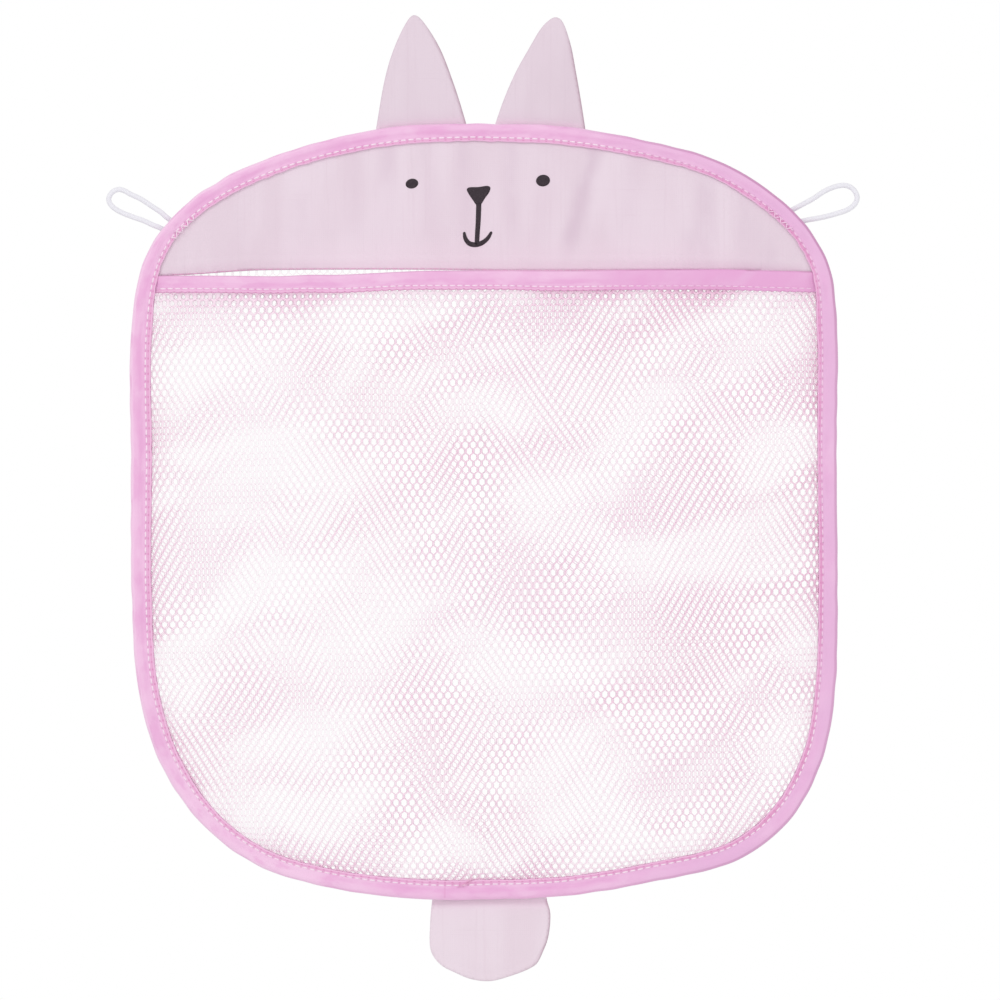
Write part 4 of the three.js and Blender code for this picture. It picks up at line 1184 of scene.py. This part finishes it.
# %% Fill a shape with even triangles
def filled_shape(outline, spacing):
    """Points and triangles inside an outline, the outline's own points first."""
    low, high = outline.min(axis=0), outline.max(axis=0)
    rows = np.arange(low[1], high[1], spacing * 0.866)
    places = np.arange(low[0], high[0], spacing)
    column, row = np.meshgrid(np.arange(len(places)), np.arange(len(rows)))
    grid = np.stack([places[column] + (row % 2) * spacing / 2, rows[row]], axis=-1).reshape(-1, 2)
    grid = grid[is_inside(outline, grid)]
    grid = grid[distance_to(outline, grid) > spacing * 0.45]
    points = np.vstack([outline, grid])
    rim = [(i, (i + 1) % len(outline)) for i in range(len(outline))]
    filled = geometry.delaunay_2d_cdt([Vector(p) for p in points], rim, [], 1, 1e-7)
    return np.array([tuple(p) for p in filled[0]]), [tuple(f) for f in filled[2]]


def cloth_of(name, outline, spacing, front_at, back_at, material):
    """A closed thin piece from its outline, and rules for the places of its front and its back."""
    flat, faces = filled_shape(outline, spacing)
    count = len(flat)
    points = np.vstack([columns(flat[:, 0], y, flat[:, 1]) for y in (front_at(flat), back_at(flat))])
    edges = [(a, b) for f in faces for a, b in zip(f, f[1:] + f[:1])]
    both_ways = set(edges)
    rim = [(b, a, count + a, count + b) for a, b in edges if (b, a) not in both_ways]
    backs = [tuple(count + i for i in reversed(f)) for f in faces]
    return turn_faces_out(make_piece(name, points, [*faces, *backs, *rim], material))


def even_outline(outline, spacing):
    """A closed outline again, with points about so far apart."""
    line = np.vstack([outline, outline[:1]])
    total = length_along(line)[-1]
    return at_lengths(line, np.arange(round(total / spacing)) * total / round(total / spacing))


# %% [markdown]
# ### The face panel
# The panel is hemmed along its lower edge and sewn under the tape round the top. It isn't stretched, so
# it hangs in a few soft upright folds, and its lower left corner is gathered where the hem was eased
# into the seam. The folds are real waves of the cloth, a few tenths of a millimetre deep.

# %% The panel's outline and folds
FACE_FRONT, FACE_THICK, FACE_LAST, FACE_EDGE_INSET, PANEL_SPACING = (
    -3.0 * MM, 0.45 * MM, -2.45 * MM, 3.0 * MM, 1.5 * MM)
panel_top = edge_moved_in(FACE_EDGE_INSET)
above = after_gap(panel_top[panel_top[:, 1] > sewn_height(PANEL_LINE, panel_top[:, 0])])
line_x = np.linspace(above[0, 0], above[-1, 0], 260)[1:-1]
lower_line = columns(line_x, sewn_height(PANEL_LINE, line_x))[::-1]
panel_outline = even_outline(np.vstack([above, lower_line]), PANEL_SPACING)
# The panel's folds, in mm: place across, width and depth
FOLDS = [(-7.4, 5.0, 0.5), (39, 5.5, 0.55), (50, 4.0, -0.35), (-58, 9.0, 0.4), (-47, 4.0, -0.3),
         (-92, 8.0, -0.35), (78, 8.0, 0.4), (98, 5.0, -0.45), (-30, 7.0, -0.25), (18, 6.0, -0.25),
         (128, 6.0, 0.35), (-118, 7.0, 0.35)]
# The gathers at its lower corners, in mm: place across, spacing, depth, width and height
GATHERS = [(-137, 1.15, 0.34, 22, 9), (133, 1.3, 0.16, 20, 5)]
PANEL_HEM_PLY, LEAST_RELIEF, MOST_RELIEF = 0.3 * MM, -0.45 * MM, 1.1 * MM
print("panel outline points:", len(panel_outline), "folds:", len(FOLDS))

# %% Face panel
def panel_relief(points):
    """How far the panel stands forward of its plane: folds, gathers and the lower hem."""
    x, z = points[:, 0], points[:, 1]
    up = z - sewn_height(PANEL_LINE, x)
    relief = sum(deep * MM * bell(x - at * MM + up * 0.06, wide * MM) for at, wide, deep in FOLDS)
    gather = sum(np.sin(x / (wave * MM)) * deep * MM * bell(x - at * MM, wide * MM)
                 * np.exp(-up / (high * MM)) for at, wave, deep, wide, high in GATHERS)
    relief = relief * (1 - 0.5 * smoothstep(up, 10 * MM, 60 * MM))
    edge = from_edge(x, z)
    free, gather_free = smoothstep(edge, 10 * MM, 24 * MM), smoothstep(edge, 9.2 * MM, 13 * MM)
    hem = PANEL_HEM_PLY * (1 - smoothstep(up, 5.5 * MM, 6.3 * MM)) * gather_free
    return np.clip(relief * free + gather * gather_free + hem, LEAST_RELIEF, MOST_RELIEF)


def panel_front(points):
    return FACE_FRONT - panel_relief(points)


def panel_back(points):
    return np.minimum(FACE_FRONT + FACE_THICK - panel_relief(points) * 0.8, FACE_LAST)


face_panel = cloth_of("face_panel_cloth", panel_outline, PANEL_SPACING, panel_front, panel_back, cotton)
takes_place_of(face_panel, "cotton", "face_panel", body="bag")

# %% The panel's hem stitches
# From the middle rightwards, where this line shows just above the pocket's hem, the deeper thread also stands
# in for a painted shadow along the panel's foot
PANEL_HEM_LEFT, PANEL_HEM_RIGHT, PANEL_PITCH, PANEL_FILL = -146 * MM, 148 * MM, 3.2 * MM, 0.9
hem_x = np.linspace(PANEL_HEM_LEFT, PANEL_HEM_RIGHT, 400)
hem_flat = columns(hem_x, sewn_height(PANEL_LINE, hem_x) + 0.4 * MM)
hem_line = columns(hem_flat[:, 0], panel_front(hem_flat) - 0.1 * MM, hem_flat[:, 1])
hem_keys = length_along(hem_line)
hem_total, hem_count = hem_keys[-1], round(hem_keys[-1] / PANEL_PITCH)
hem_ends = stitch_ends(hem_line, hem_keys, (np.arange(hem_count) + 0.5) * hem_total / hem_count,
                       hem_total / hem_count * PANEL_FILL / 2)
face_hem = sew("face_hem_stitches", hem_ends, 0.36 * MM, shade_thread, 17)
takes_place_of(face_hem, "thread", "face_hem_thread", body="bag")

# %% [markdown]
# ### The printed face
# Two eyes, a nose, a stem and a curved mouth are screen-printed on the panel: a plain animal face. Each
# is a smooth outline laid 0.12 mm proud of the cloth, and it follows the cloth's folds.

# %% Outlines of the print
NOSE = [[-8.9, 31.5], [-8.2, 30.7], [-3.5, 30.4], [1, 29.9], [2, 30.6], [1.6, 32.6], [-0.5, 35.6],
        [-2.4, 38.6], [-3.4, 39.3], [-4.6, 38.6], [-6, 36.6], [-8.1, 33.5]]
STEM = [[-3.35, 38.2], [-3.6, 46], [-4.0, 52], [-4.2, 56.8]]
MOUTH = [[-10.1, 51.6], [-9.6, 54.2], [-7.9, 56.5], [-5.3, 57.2], [-2.2, 56.5], [0.7, 54.3], [2.5, 51.4]]


def eye_outline(x, drop, width, height, turn):
    angle = np.linspace(0, 2 * math.pi, 60, endpoint=False)
    across, up = np.cos(angle) * width / 2, np.sin(angle) * height / 2
    c, s = math.cos(math.radians(turn)), math.sin(math.radians(turn))
    return columns(x + across * c - up * s, drop - across * s - up * c)


def stroke_outline(line, widths):
    """The outline of a brush stroke that follows a line, with its width at each point."""
    line, widths = curve_through(line, 8), curve_through(np.array(widths)[:, None], 8)[:, 0]
    way = np.gradient(line, axis=0)
    way = way / np.linalg.norm(way, axis=1)[:, None]
    side = columns(-way[:, 1], way[:, 0]) * widths[:, None] / 2
    tip = line[-1] + way[-1] * widths[-1] * 0.4
    tail = line[0] - way[0] * widths[0] * 0.4
    return np.vstack([line + side, [tip], (line - side)[::-1], [tail]])


# %% Eyes, nose and mouth
PRINT_PROUD, PRINT_SUNK = 0.12 * MM, 0.03 * MM
# Each outline is in mm, across and down from the body's top, which is 4 mm above the model's origin
for name, outline, node in (
        ("left_eye_ink", eye_outline(-34.4, 28.8, 5.9, 4.5, 12), "left_eye_print"),
        ("right_eye_ink", eye_outline(26.5, 27.4, 6.5, 5.4, 8), "right_eye_print"),
        ("nose_ink", curve_through(NOSE, 6, closed=True), "muzzle_print"),
        ("stem_ink", stroke_outline(STEM, [2.4, 2.3, 2.15, 2.1]), "muzzle_print"),
        ("mouth_ink", stroke_outline(MOUTH, [1.2, 1.9, 2.2, 2.3, 2.2, 1.8, 1.2]), "muzzle_print")):
    outline = columns(outline[:, 0], TOP_IN_MM - outline[:, 1]) * MM
    patch = cloth_of(name, even_outline(outline, 0.35 * MM), 0.9 * MM, lambda p: panel_front(p) - PRINT_PROUD,
                     lambda p: panel_front(p) - PRINT_SUNK, print_ink)
    takes_place_of(patch, "ink", node, body="bag")

# %% [markdown]
# ## The pocket's hem
# The top edge of the pocket net is bound with the same satin tape, folded over it and sewn a little under
# 2 mm from its lower edge. Like the net it is made in two parts that meet in the middle. At the sides it is
# pressed flat where it runs under the edge tape.

# %% Section of the hem tape
# How far below the hem's top its stitches run, in mm, at places across: it was sewn lower to the right
HEM_STITCH_DROPS = [(-165, 6.1), (-90, 6.1), (-75, 6.5), (-45, 6.5), (-20, 7.0), (8, 7.1), (28, 7.5),
                    (60, 7.5), (80, 7.8), (165, 7.9)]
# The section of the folded tape, height and depth in mm: down its front, and up through its back
HEM_FRONT = [(0.0, -4.1), (-0.35, -4.55), (-1.2, -4.75), (-2.6, -4.8), (-4.2, -4.72), (-5.8, -4.7),
             (-6.6, -4.6), (-7.0, -4.45), (-7.4, -4.6), (-8.0, -4.62), (-8.6, -4.45)]
HEM_BACK = [(-8.6, -3.95), (-7.0, -3.75), (-3.0, -3.65), (-1.3, -3.7), (-1.0, -3.9), (-1.3, -3.55),
            (-7.0, -3.35), (-8.5, -3.3), (-8.6, -2.95), (-6.0, -2.75), (-1.4, -2.7), (-0.4, -3.0),
            (0.0, -3.5)]
hem_section = np.array(HEM_FRONT + HEM_BACK) * MM
HEM_PITCH, HEM_LIP, HEM_LONGEST, SECTION_STITCH = 3.45 * MM, 1.9 * MM, 9.6 * MM, 7 * MM
HEM_SCALLOP, HEM_RIPPLE, HEM_PROUD = 0.22 * MM, 0.1 * MM, 0.8 * MM
SECTION_MIDDLE, HEM_PLANE = -3.75 * MM, -2.95 * MM
# How thick the hem stays where it is pressed flat at the sides
PRESSED_SHARE = 0.36
print("hem section points:", len(hem_section))

# %% The hem's rings and stitches
def hem_rings(x):
    """The hem's section at each place across, in its own folds."""
    chance = np.random.default_rng(9)
    ripple = HEM_RIPPLE * sum(chance.uniform(0.3, 1) * np.sin(x / (w * MM) + chance.uniform(0, 6.3))
                              for w in (4.1, 6.7, 11.3, 19))
    height = sewn_height(HEM_LINE, x)
    drops = np.array(HEM_STITCH_DROPS) * MM
    sewn_at = np.interp(x, drops[:, 0], drops[:, 1])
    foot = np.minimum(sewn_at + HEM_LIP, HEM_LONGEST)
    free = smoothstep(from_edge(x, height - 4 * MM), 8.6 * MM, 12.5 * MM)[:, None]
    down, deep = -hem_section[:, 0], hem_section[:, 1]
    scallop = HEM_SCALLOP * np.cos(x / HEM_PITCH * 2 * math.pi)[:, None]
    scallop = scallop * smoothstep(down, 6.9 * MM, HEM_WIDTH)
    up = scallop - np.stack([np.interp(down, [0, SECTION_STITCH, HEM_WIDTH], [0, *lows])
                             for lows in zip(sewn_at, foot)])
    body = np.sin(np.clip(down / SECTION_STITCH, 0, 1) * math.pi) * (deep < -4.2 * MM)
    y = HEM_PLANE + (deep - SECTION_MIDDLE) * (PRESSED_SHARE + (1 - PRESSED_SHARE) * free) - HEM_PROUD * free
    y = y - ripple[:, None] * body * free
    y = y - pocket_bulge(x, height)[:, None]
    return np.stack(np.broadcast_arrays(x[:, None], y, height[:, None] + up), axis=-1)


def hem_stitches(line):
    """One stitch for each pitch, its ends where the hem is scalloped up."""
    line = line[np.argsort(line[:, 0])]
    first, last = math.ceil(line[0, 0] / HEM_PITCH), math.floor(line[-1, 0] / HEM_PITCH)
    return stitch_ends(line, line[:, 0], (np.arange(first, last) + 0.5) * HEM_PITCH, 0.38 * HEM_PITCH)


# %% The hem's two parts
HEM_REACH, HEM_SEWN_TO, GROOVE_POINT = 158.2 * MM, 154 * MM, 7
# The hem's cloth map has half a metre at the middle, so that no length in it is below nought
MAP_MIDDLE = 0.5
HEM_CREASE, HEM_MAP_STITCH, HEM_LIP_END = (4.2 * MM, 5.4 * MM, 6.4 * MM, 7.4 * MM), 8.0 * MM, 9.5 * MM
hem_finish = make_tape_finish("pink_hem_tape", HEM_CREASE, HEM_MAP_STITCH, HEM_PITCH, HEM_LIP_END,
                              (MAP_MIDDLE + 55 * MM, MAP_MIDDLE + 75 * MM))
for side, sign in (("left", -1), ("right", 1)):
    places = np.linspace(0, sign * HEM_REACH, 3 * round(HEM_REACH / HEM_PITCH) + 1)
    rings = hem_rings(places)
    across = np.where(np.arange(rings.shape[1]) < len(HEM_FRONT), -hem_section[:, 0] + 1.0 * MM,
                      -4 * MM + hem_section[:, 0])
    hem = swept_piece(f"pocket_hem_{side}", rings, hem_finish, places + MAP_MIDDLE, across)
    bend_with_pocket(hem, sign)
    takes_place_of(hem, "edge_tape", "pocket_hem_tape")
    line = rings[:, GROOVE_POINT] - np.array([0, 0.1 * MM, 0])
    ends = hem_stitches(line[np.abs(line[:, 0]) < HEM_SEWN_TO])
    sewing = sew(f"pocket_hem_stitches_{side}", ends, 0.6 * MM, sewing_thread, 19)
    bend_with_pocket(sewing, sign)
    takes_place_of(sewing, "thread", "pocket_hem_thread")

# %% [markdown]
# ## Ears and tail
# Each is two pieces of cotton sewn face to face and turned out, so its edge is a soft roll with small
# puckers, and its middle is a little fuller. Its open end is caught behind the edge tape. It is made as
# one closed soft shape.

# %% Outlines of the ears and the tail
# Each flap, in mm: the middle of its foot across and down, its width and height, and 1 up or -1 down.
# Its outline is in shares of them, from the middle of the foot
FLAPS = {
    "left_ear": (-30.2, 2.3, 42.1, 52.1, 1),
    "right_ear": (25.2, 2.3, 42.1, 51.1, 1),
    "tail": (1.9, 362.2, 56.0, 37.3, -1),
}
FLAP_OUTLINE_SHARES = {
    "left_ear": [[-0.5, -0.027], [-0.4, 0.43], [-0.31, 0.68], [-0.18, 0.91], [-0.115, 0.985], [-0.078, 1],
                 [-0.03, 0.985], [0.055, 0.907], [0.21, 0.7], [0.355, 0.4], [0.427, 0.224], [0.5, 0.027]],
    "right_ear": [[-0.5, 0.021], [-0.4, 0.255], [-0.268, 0.503], [-0.124, 0.715], [0.019, 0.908],
                  [0.12, 0.985], [0.174, 1], [0.235, 0.972], [0.329, 0.774], [0.395, 0.503], [0.45, 0.241],
                  [0.5, -0.021]],
    "tail": [[-0.482, 0], [-0.498, 0.284], [-0.49, 0.63], [-0.407, 0.8], [-0.282, 0.9], [-0.158, 0.975],
             [0, 1], [0.166, 0.938], [0.316, 0.852], [0.386, 0.784], [0.44, 0.63], [0.482, 0.457],
             [0.5, 0.154], [0.473, 0]],
}
FLAP_MIDDLE, FLAP_ROOT, FOLD_LIFT, FLAP_FILL = 1.35 * MM, 8.0 * MM, 2.35 * MM, 0.15
# The reach in mm that bend_at is given for a flap
FLAP_BEND = 9
print("outline points:", {name: len(shares) for name, shares in FLAP_OUTLINE_SHARES.items()})

# %% One soft flap
def soft_flap(name, seed):
    """An ear or the tail as a closed soft piece, whose foot runs in under the tape."""
    x, drop, width, height, up = FLAPS[name]
    shown = np.array([[x + across * width, TOP_IN_MM - drop + up * out * height]
                      for across, out in FLAP_OUTLINE_SHARES[name]]) * MM
    left, right = shown[0], shown[-1]
    along = (right - left) / np.linalg.norm(right - left)
    out = np.array([-along[1], along[0]]) * up
    rounded = curve_through(shown, 12)
    root = np.array([right - out * FLAP_ROOT - along * MM, left - out * FLAP_ROOT + along * MM])
    chance = np.random.default_rng(seed)
    waves = [(chance.uniform(0, math.pi), chance.uniform(14, 40), chance.uniform(0, 6.3)) for _ in range(5)]
    rim = at_lengths(rounded, np.linspace(0, length_along(rounded)[-1], 600))

    def surface(side):
        """The rule for the places of the front, at side -1, or of the back, at side 1."""
        def place(p):
            inside, lift = distance_to(rim, p), (p - left) @ out
            roll = 0.3 + 0.45 * (1 - np.exp(-inside / (0.9 * MM))) - 0.16 * bell(inside - 3 * MM, 1.1 * MM)
            half = (roll + 0.25 * smoothstep(inside, 3 * MM, 12 * MM)) * MM
            half = half * (0.75 + 0.25 * smoothstep(lift, -1 * MM, 2 * MM))
            slow = sum(np.sin((p[:, 0] * math.cos(t) + p[:, 1] * math.sin(t)) / (w * MM) * 2 * math.pi + f)
                       for t, w, f in waves)
            wrinkle = slow * 0.05 * MM * smoothstep(inside, 0, 5 * MM) * smoothstep(lift, 0, 8 * MM)
            forward = (0.5 if up == 1 else 0.9) * MM * smoothstep(lift, 0, 3.5 * MM)
            return FLAP_MIDDLE + side * half + wrinkle - forward
        return place

    piece = cloth_of(f"{name}_cotton", even_outline(np.vstack([rounded, root]), 1.1 * MM), 1.3 * MM,
                     surface(-1), surface(1), ear_cotton if up == 1 else tail_cotton)
    points = np.array([v.co for v in piece.data.vertices])[:, [0, 2]]
    right_side = rounded[np.argmax(rounded @ out):]
    right_side = at_lengths(right_side, np.linspace(0, length_along(right_side)[-1], 300))
    lift = (points - left) @ out
    # Painted shade along the flap's right edge, fading out towards its tip
    write_attribute(piece, "shaded_edge", bell(distance_to(right_side, points), 0.8 * MM)
                    * (1 - smoothstep(lift, 0.6 * height * MM, height * MM)))
    # Painted light near the tape, where its shade falls on the flap
    write_attribute(piece, "painted_light_by_tape", 1 - smoothstep(lift, 0.5 * MM, 4 * MM))
    bend_at(piece, (left + right) / 2 + out * FOLD_LIFT, out, FLAP_MIDDLE, FLAP_BEND)
    takes_place_of(piece, "cotton", f"{name}_front", f"{name}_back", f"{name}_seam")


# %% Both ears and the tail
for seed, name in enumerate(FLAPS, 50):
    soft_flap(name, seed)

# %% [markdown]
# ## Light and background
# A plain light room: an even glow from all round, one large soft lamp to the upper left and a weaker
# one to the right. Together they light a surface that faces the camera to about its own colour, so
# nothing burns out. The camera, and a highlight on the cloth, sees plain white where the glow is: the
# light path tells these rays from the others. A pale floor lies well below the bag.

# %% Room and lamps
world = bpy.data.worlds.new("pale_room")
bpy.context.scene.world = world
world.use_nodes = True
room = world.node_tree
room.nodes.clear()
glow = wire(room, "ShaderNodeBackground", {"Color": (1.0, 0.985, 0.99, 1.0), "Strength": 0.74})
seen = wire(room, "ShaderNodeBackground", {"Color": (1.0, 1.0, 1.0, 1.0), "Strength": 1.0})
path = wired(room, "ShaderNodeLightPath")
direct = Wire(path["Is Glossy Ray"]).math("MAXIMUM", path["Is Transmission Ray"])
direct = direct.math("MAXIMUM", path["Is Camera Ray"])
chosen = wire(room, "ShaderNodeMixShader", {0: direct, 1: glow, 2: seen})
wired(room, "ShaderNodeOutputWorld", {"Surface": chosen})


def soft_lamp(name, place, size, power):
    data = bpy.data.lights.new(name, "AREA")
    data.shape, data.size, data.energy = "SQUARE", size, power
    lamp = new_object(name, data)
    lamp.location = place
    lamp.rotation_euler = (BAG_MIDDLE - Vector(place)).to_track_quat("-Z", "Y").to_euler()


soft_lamp("upper_left_lamp", (-1.6, -2.2, 1.7), 1.4, 23)
soft_lamp("right_lamp", (1.9, -2.0, 0.4), 1.6, 8)
print("lamps: 2")

# %% Floor
floor_finish, floor_place = new_finish("pale_floor", 0.9)
dress(floor_finish, floor_place.noise((3, 3, 3)).mix(SHADES["floor"], SHADES["floor_grain"]))
FLOOR_HEIGHT, FLOOR_HALF = -0.9, 3.0
floor_corners = [(x * FLOOR_HALF, y * FLOOR_HALF, FLOOR_HEIGHT)
                 for x, y in ((-1, -1), (1, -1), (1, 1), (-1, 1))]
floor = make_piece("floor", floor_corners, [(0, 1, 2, 3)], floor_finish, smooth=False)
